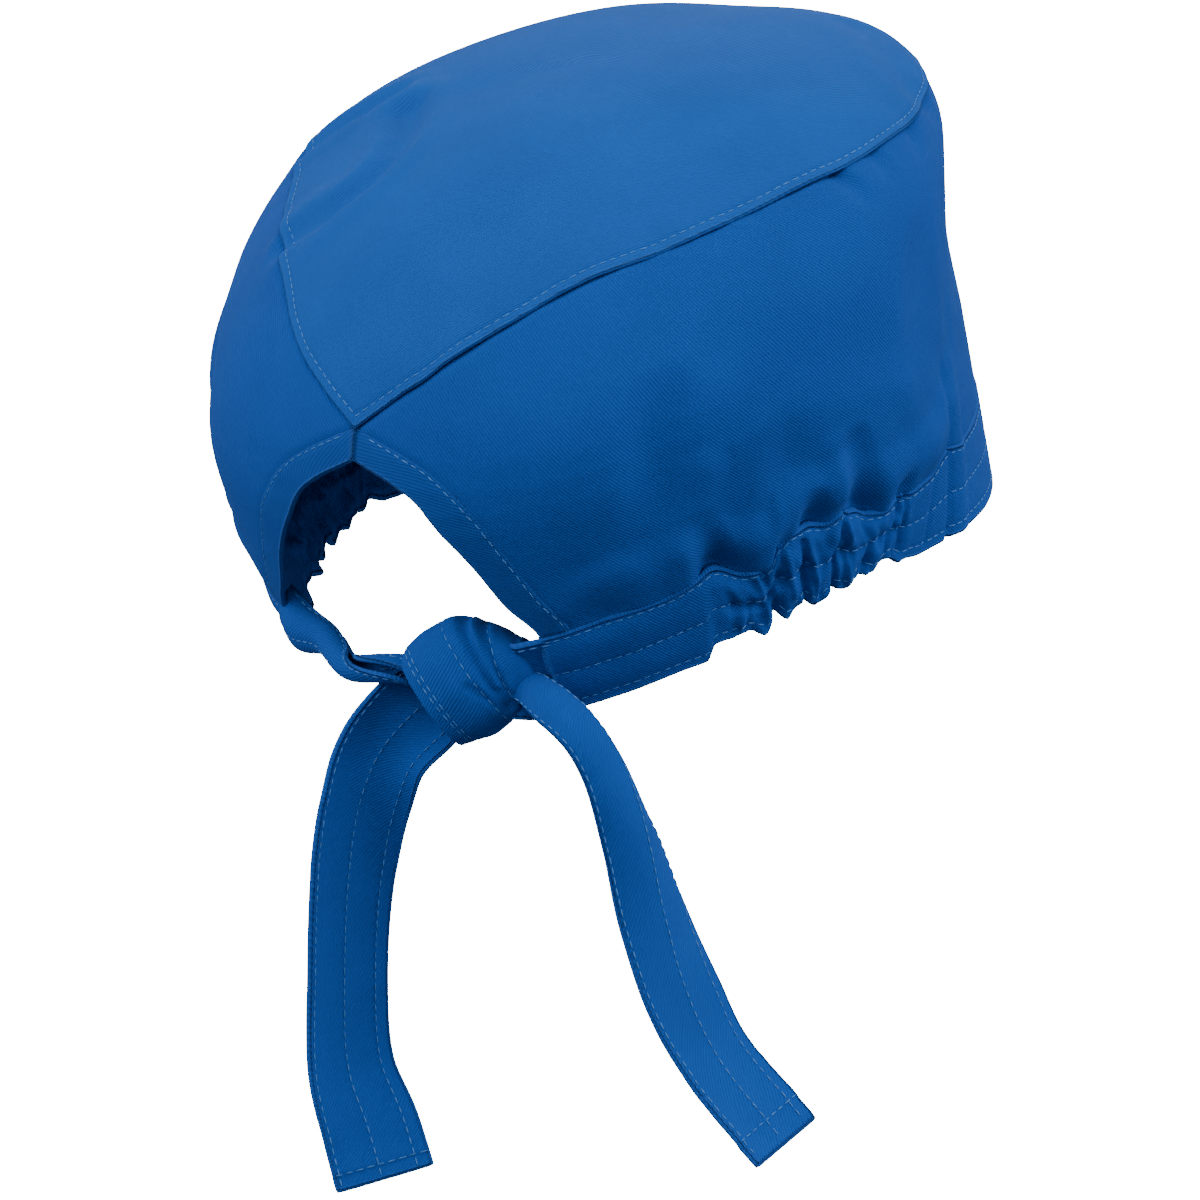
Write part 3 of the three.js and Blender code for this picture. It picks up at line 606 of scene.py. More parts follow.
def spread(*runs):
    """Numbers over several stretches, each as start, end and about how far apart."""
    parts = [np.linspace(a, b, max(2, round(abs(b - a) / step) + 1))[:-1] for a, b, step in runs]
    return np.concatenate([*parts, [runs[-1][1]]])


def seam_wobble(azimuth):
    """How far the folded edge strays from its line, as a share of the meridian."""
    return (0.4 * rim_ripple(azimuth, 9, 0.35) + 0.5 * bump((azimuth - 11) / 3)) / RIM_MM


SEAM_STEP = 0.65
FOLD_INSET = 2.0

# Scales the crown's cloth map, which is laid out by share of the meridian and azimuth
CROWN_GRAIN = 1.15


def round_crown(u):
    """Azimuths for u from -1 to 1, closer together at the tip over the nape."""
    return 180 * np.sign(u) * np.abs(u) ** 1.2


def crown_surface(azimuth, s):
    n = outward(azimuth, s)
    p = bare(azimuth, s)
    inside = (crown_seam(azimuth) + seam_wobble(azimuth) - s) * RIM_MM
    out = crease_relief(p) + SEAM_STEP
    out = out - 0.3 * bump((inside - FOLD_INSET) / 0.9)
    out = out + 0.14 * bump((inside - 0.8) / 1.1)
    out = out + 0.17 * rim_ripple(azimuth, 3) * bump((inside - FOLD_INSET) / 8)
    return p + n * np.asarray(out)[..., None], n


def side_surface(azimuth, s):
    """The side panel. Its edges dip under the crown, the bindings and the band."""
    n = outward(azimuth, s)
    p = bare(azimuth, s)
    out = panel_relief(azimuth, s, p) + fold_relief(azimuth, s)
    under_crown = (crown_seam(azimuth) - s) * RIM_MM
    under_band = (s - band_top(azimuth)) * RIM_MM
    out = out - 1.05 * smooth(under_crown, -1.0, 0.3) - 1.0 * smooth(under_band, -0.9, 0.4)
    return p + n * out[..., None], n


class CapPiece:
    bl_options = {"REGISTER"}


class SCRUBCAP_OT_crown(bpy.types.Operator, CapPiece):
    """Builds the teardrop crown with its folded and topstitched edge"""

    bl_idname = "scrubcap.crown"
    bl_label = "Crown"

    def execute(self, context):
        t = spread((0.03, 0.9, 0.022), (0.9, 1, 0.0075))[:, None]
        u = np.linspace(-1, 1, 361)[:-1][None, :]
        azimuth = round_crown(u)
        s = t * (crown_seam(azimuth) + 0.1 / RIM_MM) + t ** 8 * seam_wobble(azimuth)
        azimuth = azimuth + 0 * s
        p, n = crown_surface(azimuth, s)
        turn = np.radians(azimuth)
        uv = np.stack([s * RIM_MM * np.sin(turn), s * RIM_MM * np.cos(turn)], -1) * CROWN_GRAIN
        wall = context.scene.scrub_cap_sizes.panel_wall / MM
        piece = shell("crown", p, n, wall, uv, cloth("crown"), ring=True)
        declare(piece, "crown_panel")
        return {"FINISHED"}


# The cloth's grain stays level while the rim is tipped, by this many mm at the forehead
GRAIN_TIP = 30


def panel_azimuth(t, u):
    """Azimuth of the side panel from its nape edge, u 0, to the middle of the forehead, u 1."""
    start = through(KEYHOLE, "down", "seam", t, True)
    return start + (180 - start) * u


class SCRUBCAP_OT_side_panel(bpy.types.Operator, CapPiece):
    """Builds the side panel with its folds, dents and puckers"""

    bl_idname = "scrubcap.side_panel"
    bl_label = "Side panel"

    def execute(self, context):
        half = spread((BINDING_END, 44, 1.2), (44, 96, 0.62), (96, 118, 0.9), (118, 180, 1.5))
        u = (half - BINDING_END) / (180 - BINDING_END)
        u = np.concatenate([[-0.009], u])
        signed = np.concatenate([u, u[:-1][::-1]])
        hand = np.concatenate([np.ones(len(u)), -np.ones(len(u) - 1)])
        t = spread((-0.02, 0.05, 0.01), (0.05, 0.93, 0.0135), (0.93, 1.03, 0.0085))[:, None]
        inside = np.clip(t, 0, 1)
        azimuth = hand * panel_azimuth(inside, signed)
        top = crown_seam(180 * np.clip(signed, 0, 1)) + 0 * t
        s = (1 - t) * top + t * band_top(azimuth)
        p, n = side_surface(azimuth, s)
        p = p - n * (1.0 * smooth(-signed, 0, 0.006) * np.ones_like(s))[..., None]
        uv = np.stack([onward_mm(azimuth), -s * RIM_MM - GRAIN_TIP * np.cos(np.radians(azimuth))], -1)
        wall = context.scene.scrub_cap_sizes.panel_wall / MM
        piece = shell("side_panel_cloth", p, n, wall, uv, cloth("side"))
        declare(piece, "side_panel")
        return {"FINISHED"}


def binding_point(hand, t, w):
    """Azimuth and share of a binding's point: t runs down it and w from its free edge to its seam."""
    edge = through(KEYHOLE, "down", "edge", t, True)
    seam = through(KEYHOLE, "down", "seam", t, True)
    azimuth = hand * (0.12 + edge + (seam - edge) * w)
    top = KEYHOLE_TOP + (crown_seam(0) - KEYHOLE_TOP) * w
    return azimuth, (1 - t) * top + t * band_top(azimuth)


# Place of a binding's stitch row, as a share of the way from its free edge to its seam, and the
# size of its cloth map in mm
BINDING_ROW = 0.88
BINDING_ACROSS = 9.5
BINDING_DOWN = 82


def binding_surface(hand, t, w):
    azimuth, s = binding_point(hand, t, w)
    n = outward(azimuth, s)
    p = bare(azimuth, s)
    out = panel_relief(azimuth, s, p) + 0.35 - 0.25 * bump((w - BINDING_ROW) / 0.1)
    out = out + 0.12 * ripple(t * 80, 4 + hand) * bump((w - 0.9) / 0.5)
    out = out - 0.5 * smooth(w, 0.93, 1) - 0.9 * smooth(t, 0.975, 1)
    return p + n * out[..., None], n


class SCRUBCAP_OT_bindings(bpy.types.Operator, CapPiece):
    """Builds the two narrow facings that edge the keyhole at the nape"""

    bl_idname = "scrubcap.bindings"
    bl_label = "Keyhole bindings"

    def execute(self, context):
        wall = context.scene.scrub_cap_sizes.binding_wall / MM
        for hand, name in ((1, "right"), (-1, "left")):
            t = spread((0, 0.1, 0.01), (0.1, 1, 0.0135))[:, None]
            w = np.linspace(0, 1.02, 16)[None, :]
            p, n = binding_surface(hand, t + 0 * w, w + 0 * t)
            uv = np.stack([w * BINDING_ACROSS + 0 * t, -t * BINDING_DOWN + 0 * w], -1)
            piece = shell(f"binding_{name}", p, n, wall, uv, cloth(f"binding_{name}"))
            declare(piece, f"opening_binding_{name}")
        return {"FINISHED"}


# Height in mm of the band's cloth, and of the gathered band by which its creases are laid
BAND_CLOTH = 23.5
BAND_GATHERED = 22

# Stitch rows near the band's top and bottom edges, in mm from them
TOP_ROW = 1.1
LOW_ROW = 2.4

# Creases of the gathered band: (azimuth, share of the band's height) at both ends, depth and
# half width in mm
BAND_CREASES = [
    ((62.2, 0.05), (65.3, 1.0), 1.5, 1.6),
    ((66.2, 0.1), (68.6, 0.75), -0.9, 1.5),
    ((70.0, 0.15), (71.2, 1.0), 1.4, 1.5),
    ((72.3, 0.45), (73.6, 0.95), -0.8, 1.2),
    ((78.6, 0.0), (76.6, 0.6), 1.3, 1.4),
    ((76.6, 0.6), (77.6, 1.0), 1.3, 1.3),
    ((79.0, 0.1), (80.0, 0.9), -0.8, 1.3),
    ((85.4, 0.45), (83.8, 1.0), 1.0, 1.3),
    ((91.6, 0.0), (88.6, 0.8), 1.4, 1.5),
    ((93.0, 0.0), (92.2, 0.9), 1.0, 1.2),
    ((57.5, 0.55), (62.5, 0.62), 1.0, 2.2),
    ((59.8, 0.6), (58.9, 0.95), 0.7, 1.4),
    ((100.5, 0.1), (99.5, 0.9), 0.5, 1.3),
]


def crumple(x, y):
    """Irregular small puckers of cloth that elastic draws up, in mm."""
    lines = np.sin(x / 1.15 + 0.9 * np.sin(y / 3.1) + 0.7) * 0.28
    lines = lines + np.sin(x / 0.72 - y / 3.7 + 1.3 * np.sin(y / 2.3)) * 0.16
    return lines + np.sin(x / 1.9 + y / 2.6 + 2.1) * 0.3 + np.sin(x / 2.6 - y / 1.8) * 0.22


def band_rows(height):
    """The band's stitch rows, as shares of its height from the top."""
    return TOP_ROW / height, 0.5 + 0 * height, 1 - LOW_ROW / height


# Strength of the crumpling where the elastic draws the band up
CRUMPLED = 1.25


def band_surface(azimuth, t):
    """The hem band: t runs from its folded top edge to its bottom edge."""
    top = band_top(azimuth)
    s = top + (band_bottom(azimuth) - top) * t
    n = outward(azimuth, s)
    p = bare(azimuth, s)
    side, amount = mirrored(azimuth), share(azimuth)
    height = (band_bottom(azimuth) - top) * RIM_MM
    pleat = 0.3 + 0.7 * smooth(t, 0, 0.55)
    out = panel_relief(azimuth, s, p) - amount * wave("out", side) * pleat * 0.85 + 0.4
    for (a0, t0), (a1, t1), depth, half in BAND_CREASES:
        line = [(a0 * MM_PER_DEGREE, t0 * BAND_GATHERED), (a1 * MM_PER_DEGREE, t1 * BAND_GATHERED)]
        away = away_from(line, side * MM_PER_DEGREE, t * BAND_GATHERED)
        out = out - amount * depth * bump(away / half)
    drawn = drawn_up(azimuth)
    out = out - 0.9 * drawn * bump((t - 0.52) / 0.16)
    along = azimuth * MM_PER_DEGREE
    out = out + CRUMPLED * drawn * crumple(along, t * BAND_GATHERED) * smooth(t, 0.02, 0.2)
    for row, depth in zip(band_rows(height), (0.25, 0.3, 0.25)):
        out = out - depth * bump((t - row) * height / 1.0)
        out = out + 0.1 * rim_ripple(azimuth, 6) * bump((t - row) * height / 5)
    plain = 1 - smooth(side, 48, 54)
    out = out + plain * 0.5 * (bump((t - 0.27) / 0.25) + bump((t - 0.72) / 0.22))
    out = out + (1 - drawn) * 0.15 * rim_ripple(azimuth, 7, 0.7) * bump((t - 0.5) / 0.6)
    return p + n * out[..., None], n


class SCRUBCAP_OT_hem_band(bpy.types.Operator, CapPiece):
    """Builds the stitched hem band, drawn up by elastic over both ears"""

    bl_idname = "scrubcap.hem_band"
    bl_label = "Hem band"

    def execute(self, context):
        half = spread((BAND_END, 46, 0.9), (46, 100, 0.36), (100, 116, 0.7), (116, 180, 1.4))
        azimuth = np.concatenate([half, -half[:-1][::-1]])[None, :]
        t = np.linspace(0, 1, 31)[:, None]
        azimuth, t = np.broadcast_arrays(azimuth, t)
        p, n = band_surface(azimuth, t)
        uv = np.stack([onward_mm(azimuth), -t * BAND_CLOTH - GRAIN_TIP * np.cos(np.radians(azimuth))], -1)
        wall = context.scene.scrub_cap_sizes.band_wall / MM
        piece = shell("hem_band_cloth", p, n, wall, uv, cloth("band"))
        declare(piece, "hem_band")
        return {"FINISHED"}


# Knot, ties and tails

KNOT_AT = np.array([-18.4, 92, -19.5])
PLANE_TURN = math.radians(25)
KNOT_LEAN = math.radians(36)
ACROSS = np.array([math.cos(PLANE_TURN), math.sin(PLANE_TURN), 0])
OUT = np.array([-math.sin(PLANE_TURN), math.cos(PLANE_TURN), 0])
UP = np.array([0, 0, 1.0])

KNOT = columns("along up down depth", [
    (-9.2, -13.6, 14.2, 8.8),
    (-6, -15, 15.2, 9.4),
    (0, -15.2, 16.4, 10),
    (6, -15, 16.4, 9.8),
    (10, -13.4, 15.6, 9),
    (14, -9.4, 13.5, 8),
    (17.5, -4.6, 11.2, 6.8),
    (20, 0, 7.5, 4.6),
])

TIE_WIDTH = 25
TAIL_WALL = 1.5
SHORT_TIE_WIDTH = 22
BAND_WALL = 2.2

# Stations of the ties and tails: across, height and out from KNOT_AT in mm, then in degrees the
# slope and the turn of the width, and half the arc that the section is curled to
TAIL_LEFT = [
    (4, -3.5, -3, 38, 0, 50),
    (11.5, -9, -3, 36, 0, 34),
    (20.4, -19.5, -0.5, 27, 10, 44),
    (25.5, -33, 2, 14, 33, 33),
    (28.9, -53, 2, 6, 47, 18),
    (30.8, -80, 0, 1, 52, 14),
    (29.8, -103, 0, -11, 46, 12),
    (23.6, -118, 3, -20, 32, 8),
    (19, -130, 6, -16, 22, 4),
]
TAIL_RIGHT = [
    (-8, 2, 0, -50, 84, -140),
    (-19.5, -0.8, 2.5, -54, 90, -132),
    (-28, -4.6, 8.4, -48, 93, -114),
    (-34.8, -9.6, 11.2, -36, 94, -104),
    (-41.9, -20, 10.5, -25, 85, -90),
    (-48, -36.5, 8, -17, 69, -74),
    (-53.4, -58, 5, -16, 58, -42),
    (-59.6, -78.4, 3, -22, 56, -17),
    (-68.4, -96, 2, -35, 60, -4),
    (-85.9, -116, 3, -41, 58, 6),
]
TIE_LEFT_MIDDLE = [
    (40, 6.5, -19, 70, 25, 150),
    (31, 1.8, -7, 66, 95, 156),
    (21, 2.6, 0.5, 76, 165, 150),
    (12, 2, 0.5, 84, 215, 144),
    (4, -1, 0, 90, 240, 140),
]
TIE_RIGHT_MIDDLE = [
    (-16, 0.5, 0.5, 104, 0, 22),
    (-8, 0, -3, 98, 0, 26),
]


def turned(v, axis, angle):
    """v turned about an axis."""
    axis = unit(axis)
    return (v * math.cos(angle) + np.cross(axis, v) * math.sin(angle)
            + axis * (axis @ v) * (1 - math.cos(angle)))


def station(row):
    across, height, out, slope, turn, cup = row
    at = KNOT_AT + ACROSS * across + UP * height + OUT * out
    width = ACROSS * math.cos(math.radians(slope)) + UP * math.sin(math.radians(slope))
    width = turned(width, np.cross(width, OUT), math.radians(turn))
    return at, width, math.radians(cup)


def flowing(points, t):
    """A smooth curve through points, at t from 0 to 1, with its speed set by their distances."""
    points = np.asarray(points, float)
    points = np.concatenate([[2 * points[0] - points[1]], points, [2 * points[-1] - points[-2]]])
    place = t * (len(points) - 3)
    i = min(int(place), len(points) - 4)
    w = place - i
    p0, p1, p2, p3 = points[i:i + 4]
    d0, d1, d2 = (max(np.linalg.norm(b - a), 1e-6) ** 0.5 for a, b in ((p0, p1), (p1, p2), (p2, p3)))
    m1 = ((p1 - p0) / d0 - (p2 - p0) / (d0 + d1) + (p2 - p1) / d1) * d1
    m2 = ((p2 - p1) / d1 - (p3 - p1) / (d1 + d2) + (p3 - p2) / d2) * d1
    return (p1 + m1 * w + (3 * (p2 - p1) - 2 * m1 - m2) * w ** 2
            + (2 * (p1 - p2) + m1 + m2) * w ** 3)


# A station is level with its section at this share of the way from the middle to the edges
STATION_LEVEL = 0.6


class Strip:
    """A strip of cloth through its stations, its section curled to an arc of the same length.

    gathered draws its width in: from where, to where it is fully drawn in, and by what share.
    """

    def __init__(self, stations, width, thickness, relief=None, gathered=None):
        self.at = [s[0] for s in stations]
        self.side = [s[1] for s in stations]
        order = np.arange(len(stations), dtype=float)
        self.cups = {"k": order, "cup": np.array([s[2] for s in stations])}
        self.width, self.thickness, self.relief = width, thickness, relief
        self.gathered = gathered or (0, 1, 0)
        steps = np.linspace(0, 1, 200)
        line = np.array([flowing(self.at, t) for t in steps])
        self.length = float(np.sum(np.linalg.norm(np.diff(line, axis=0), axis=1)))

    def frame(self, t):
        near = 1e-4
        at = flowing(self.at, t)
        run = unit(flowing(self.at, min(1, t + near)) - flowing(self.at, max(0, t - near)))
        side = flowing(self.side, t)
        side = unit(side - run * (side @ run))
        return at, side, np.cross(run, side)

    def row(self, t, across):
        """Outer points and normals at t, for across from -1 to 1."""
        at, side, face = self.frame(t)
        last = len(self.at) - 1
        cup = float(through(self.cups, "k", "cup", t * last))
        cup = cup if abs(cup) > 0.02 else 0.02
        start, end, less = self.gathered
        radius = self.width / 2 / cup * (1 - less * float(smooth(t, start, end)))
        angle = cup * across[:, None]
        n = face * np.cos(angle) + side * np.sin(angle)
        level = math.cos(cup * STATION_LEVEL)
        p = at + side * radius * np.sin(angle) + face * radius * (np.cos(angle) - level)
        extra = 0 if self.relief is None else self.relief(t, across, self)
        return p + n * (self.thickness / 2 + np.asarray(extra)[..., None]), n

    def grid(self, start, end, steps, count):
        across = np.linspace(-1, 1, count)
        times = np.linspace(start, end, steps)
        rows = [self.row(t, across) for t in times]
        uv = np.broadcast_arrays(across[None, :] * self.width / 2, -times[:, None] * self.length)
        return np.array([r[0] for r in rows]), np.array([r[1] for r in rows]), np.stack(uv, -1)


# Stitch rows of the casing, from its middle as a share of half its width
TIE_ROWS = (0.92, 0.06, -0.72)

# The stitch row across a tail's hem, in mm from its end
HEM_ROW = 4.6


def casing_relief(t, across, strip):
    """The casing puffs a little between its stitch rows, and its hem is thicker at the end."""
    out = np.zeros(len(across))
    for row in TIE_ROWS:
        out -= 0.22 * bump((across - row) * strip.width / 2 / 0.9)
    out += 0.28 * bump((across - 0.49) / 0.4) + 0.25 * bump((across + 0.33) / 0.36)
    along = t * strip.length
    for k, row in enumerate(TIE_ROWS):
        out += 0.07 * ripple(along, 8 + k) * bump((across - row) / 0.35)
    out += 0.3 * ripple(along * 0.42, 11 + strip.width) * across
    from_end = (1 - t) * strip.length
    return out + 0.45 * (1 - smooth(from_end, 4.5, 5.5)) - 0.3 * bump((from_end - HEM_ROW) / 0.8)


def tail_left():
    return Strip([station(r) for r in TAIL_LEFT], TIE_WIDTH, TAIL_WALL, casing_relief)


def tail_right():
    return Strip([station(r) for r in TAIL_RIGHT], TIE_WIDTH, TAIL_WALL, casing_relief, (0.24, 0.08, 0.3))


def band_end(hand, cup):
    """Stations at an end of the band, so that the tie carries on from it."""
    azimuth = np.array(float(hand * BAND_END))
    p1, _ = band_surface(azimuth, np.array(0.0))
    p2, n2 = band_surface(azimuth, np.array(1.0))
    width = unit(p1 - p2)
    onward = -hand * unit(np.cross(width, n2))
    middle = (p1 + p2) / 2 - n2 * BAND_WALL / 2
    return [(middle + onward * run, width, math.radians(c)) for run, c in ((-3, cup[0]), (4, cup[1]))]


def tie_left():
    stations = band_end(-1, (70, 105)) + [station(r) for r in TIE_LEFT_MIDDLE]
    return Strip(stations, TIE_WIDTH, 1.3, casing_relief, (0.05, 0.5, 0.36))


def tie_right():
    stations = band_end(1, (6, 12)) + [station(r) for r in TIE_RIGHT_MIDDLE]
    return Strip(stations, SHORT_TIE_WIDTH, 1.6, casing_relief, (0.3, 0.8, 0.15))


class SCRUBCAP_OT_ties(bpy.types.Operator, CapPiece):
    """Builds the two short ends of the band on their way to the knot"""

    bl_idname = "scrubcap.ties"
    bl_label = "Ties"

    def execute(self, context):
        for name, strip, steps in (("left", tie_left(), 110), ("right", tie_right(), 60)):
            p, n, uv = strip.grid(0, 1, steps, 30)
            piece = shell(f"tie_{name}_cloth", p, n, strip.thickness, uv, cloth("tie"))
            declare(piece, f"tie_{name}")
        return {"FINISHED"}


class SCRUBCAP_OT_tails(bpy.types.Operator, CapPiece):
    """Builds the two free ends that hang from the knot"""

    bl_idname = "scrubcap.tails"
    bl_label = "Tails"

    def execute(self, context):
        for name, strip in (("left", tail_left()), ("right", tail_right())):
            p, n, uv = strip.grid(0, 1, 200, 36)
            piece = shell(f"tail_{name}_cloth", p, n, strip.thickness, uv, cloth("tie"))
            declare(piece, f"tail_{name}")
        return {"FINISHED"}


# Valleys of the wrap where it narrows: (along, v) lines on the knot, depth and half width
KNOT_FOLDS = [
    ([(10.6, -13), (9.4, -3), (8.2, 7), (8.0, 13)], 1.3, 2.2),
    ([(14.6, -9), (12.6, -1), (10.6, 7), (9.8, 13)], 1.0, 1.7),
    ([(3.5, 3), (5.5, 9), (6.8, 14)], 0.7, 2.0),
    ([(12.4, -10), (11.0, -1), (9.6, 7)], -0.7, 1.6),
]

# Stitch rows of the wrap: where each lies along the axis at its top and at its bottom
KNOT_ROWS = ((-6.9, -6.4), (-5.6, -5.4), (5.2, 5.4), (14.6, 10.4))

# Rings that close the wrap's ends: the share of the size that each keeps, and how far it stands
# out along the axis in mm
KNOT_MOUTH = ((0.985, 0.25), (0.94, 0.35), (0.895, 0.2), (0.87, -0.6), (0.86, -2.2), (0.5, -2.4))
KNOT_TIP = ((0.9, 0.3), (0.6, 0.8), (0.25, 1))

KNOT_AXIS = -ACROSS * math.cos(KNOT_LEAN) + UP * math.sin(KNOT_LEAN)
KNOT_DOWN = -ACROSS * math.sin(KNOT_LEAN) - UP * math.cos(KNOT_LEAN)

# Millimetres of cloth for each radian round the wrap
KNOT_ROUND = 13


def knot_surface(along, turn):
    """A point of the wrap: along its axis, and round it from the front (90 degrees)."""
    high, low = through(KNOT, "along", "up", along), through(KNOT, "along", "down", along)
    depth = through(KNOT, "along", "depth", along)
    across = np.cos(turn)
    v = (high + low) / 2 + (low - high) / 2 * across
    front = depth * np.sin(turn)
    out = 0
    for line, deep, half in KNOT_FOLDS:
        out = out - deep * bump(away_from(line, along, v) / half) * (np.sin(turn) > -0.2)
    for start, end in KNOT_ROWS:
        row = start + (end - start) * smooth(v, -12, 12)
        out = out - 0.22 * bump((along - row) / 0.8)
    out = out + 0.35 * bump((along + 0.4) / 4) + 0.12 * ripple(v * 1.3, 12)
    n = unit(KNOT_DOWN * (across / np.maximum(low - high, 1))[..., None] * 20
             + OUT * (np.sin(turn) / np.maximum(depth, 1))[..., None] * 10)
    p = KNOT_AT + KNOT_AXIS * along[..., None] + KNOT_DOWN * v[..., None] + OUT * front[..., None]
    return p + n * np.asarray(out)[..., None], n


class SCRUBCAP_OT_knot(bpy.types.Operator, CapPiece):
    """Builds the wrap of the knot with its folds"""

    bl_idname = "scrubcap.knot"
    bl_label = "Knot"

    def execute(self, context):
        along = spread((-9.2, -8.2, 0.2), (-8.2, 19.9, 0.42))
        turn = np.linspace(0, 2 * math.pi, 121)[:-1]
        grid_a, grid_t = np.meshgrid(along, turn, indexing="ij")
        p, _ = knot_surface(grid_a, grid_t)
        uv = np.stack([grid_a, -grid_t * KNOT_ROUND], -1)
        rows, cols = grid_a.shape
        index = np.arange(rows * cols).reshape(rows, cols)
        index = np.concatenate([index, index[:, :1]], 1)
        faces = quads(index[:-1, :-1], index[:-1, 1:], index[1:, 1:], index[1:, :-1])
        points, uvs = [p.reshape(-1, 3)], [uv.reshape(-1, 2)]
        total = rows * cols
        for ring, sign, closing in ((0, 1, KNOT_MOUTH), (rows - 1, -1, KNOT_TIP)):
            centre = p[ring].mean(0)
            before = index[ring, :-1]
            for shrink, stand in closing:
                points.append(centre + (p[ring] - centre) * shrink - sign * stand * KNOT_AXIS)
                uvs.append(uv[ring] * [1, shrink])
                here = np.arange(total, total + cols)
                total += cols
                rolled = (np.roll(here, -1), np.roll(before, -1))
                if sign > 0:
                    faces += quads(here, *rolled, before)
                else:
                    faces += quads(before, *rolled[::-1], here)
                before = here
            points.append(centre[None, :])
            uvs.append(uv[ring].mean(0)[None, :])
            for k in range(cols):
                pair = [int(before[k]), int(before[(k + 1) % cols])]
                faces.append([total, *pair[::-1]] if sign < 0 else [total, *pair])
            total += 1
        piece = new_piece("knot_wrap", np.concatenate(points), faces, np.concatenate(uvs), cloth("knot"))
        declare(piece, "knot")
        return {"FINISHED"}


# Stitches


def stitch_tree(material):
    """Nodes that lay a stitch at even steps along each edge path of the mesh."""
    tree = bpy.data.node_groups.new("row of stitches", "GeometryNodeTree")
    face = tree.interface
    face.new_socket("Path", in_out="INPUT", socket_type="NodeSocketGeometry")
    for name in ("Pitch", "Stitch length", "Thread thickness"):
        face.new_socket(name, in_out="INPUT", socket_type="NodeSocketFloat")
    face.new_socket("Geometry", in_out="OUTPUT", socket_type="NodeSocketGeometry")
    start = add(tree, "NodeGroupInput").outputs
    path = add(tree, "GeometryNodeMeshToCurve", links={0: start["Path"]})
    steps = add(tree, "GeometryNodeCurveToPoints", links={"Curve": path.outputs[0], "Length": start["Pitch"]},
                mode="LENGTH")
    ball = add(tree, "GeometryNodeMeshUVSphere", {"Segments": 6, "Rings": 4, "Radius": 0.5})
    thickness = start["Thread thickness"]
    size = add(tree, "ShaderNodeCombineXYZ", links={0: thickness, 1: thickness, 2: start["Stitch length"]})
    stitch = add(tree, "GeometryNodeTransform",
                 links={"Geometry": ball.outputs["Mesh"], "Scale": size.outputs[0]})
    uneven = add(tree, "FunctionNodeRandomValue", {2: 0.88, 3: 1.1, "Seed": 7}, data_type="FLOAT")
    placed = add(tree, "GeometryNodeInstanceOnPoints",
                 links={"Points": steps.outputs["Points"], "Instance": stitch.outputs[0],
                        "Rotation": steps.outputs["Rotation"], "Scale": uneven.outputs[1]})
    real = add(tree, "GeometryNodeRealizeInstances", links={0: placed.outputs[0]})
    dyed = add(tree, "GeometryNodeSetMaterial", {"Material": material}, {"Geometry": real.outputs[0]})
    add(tree, "NodeGroupOutput", links={0: dyed.outputs[0]})
    return tree


def sew(name, paths, sizes):
    """Turns rows of points, in mm, into one piece of stitches."""
    points, edges = [], []
    for path, closed in paths:
        first = len(points)
        points += (np.asarray(path) * MM).tolist()
        edges += [(k, k + 1) for k in range(first, len(points) - 1)]
        if closed:
            edges.append((len(points) - 1, first))
    mesh = bpy.data.meshes.new(name)
    mesh.from_pydata(points, edges, [])
    rows = bpy.data.objects.new(name + " path", mesh)
    bpy.context.scene.collection.objects.link(rows)
    tree = stitch_tree(cloth("thread"))
    modifier = rows.modifiers.new("stitches", "NODES")
    modifier.node_group = tree
    given = {"Pitch": sizes.stitch_pitch, "Stitch length": sizes.stitch_length,
             "Thread thickness": sizes.thread_thickness}
    for item in tree.interface.items_tree:
        if item.in_out == "INPUT" and item.name in given:
            modifier[item.identifier] = given[item.name]
    evaluated = rows.evaluated_get(bpy.context.evaluated_depsgraph_get())
    stitched = bpy.data.meshes.new_from_object(evaluated)
    stitched.name = name
    rows.modifiers.clear()
    bpy.data.objects.remove(rows)
    stitched.polygons.foreach_set("use_smooth", np.ones(len(stitched.polygons), bool))
    piece = bpy.data.objects.new(name, stitched)
    bpy.context.scene.collection.objects.link(piece)
    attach(piece, "root")
    return piece


THREAD_LIFT = 0.08


def on_cloth(surface, *where):
    p, n = surface(*where)
    return p + n * THREAD_LIFT


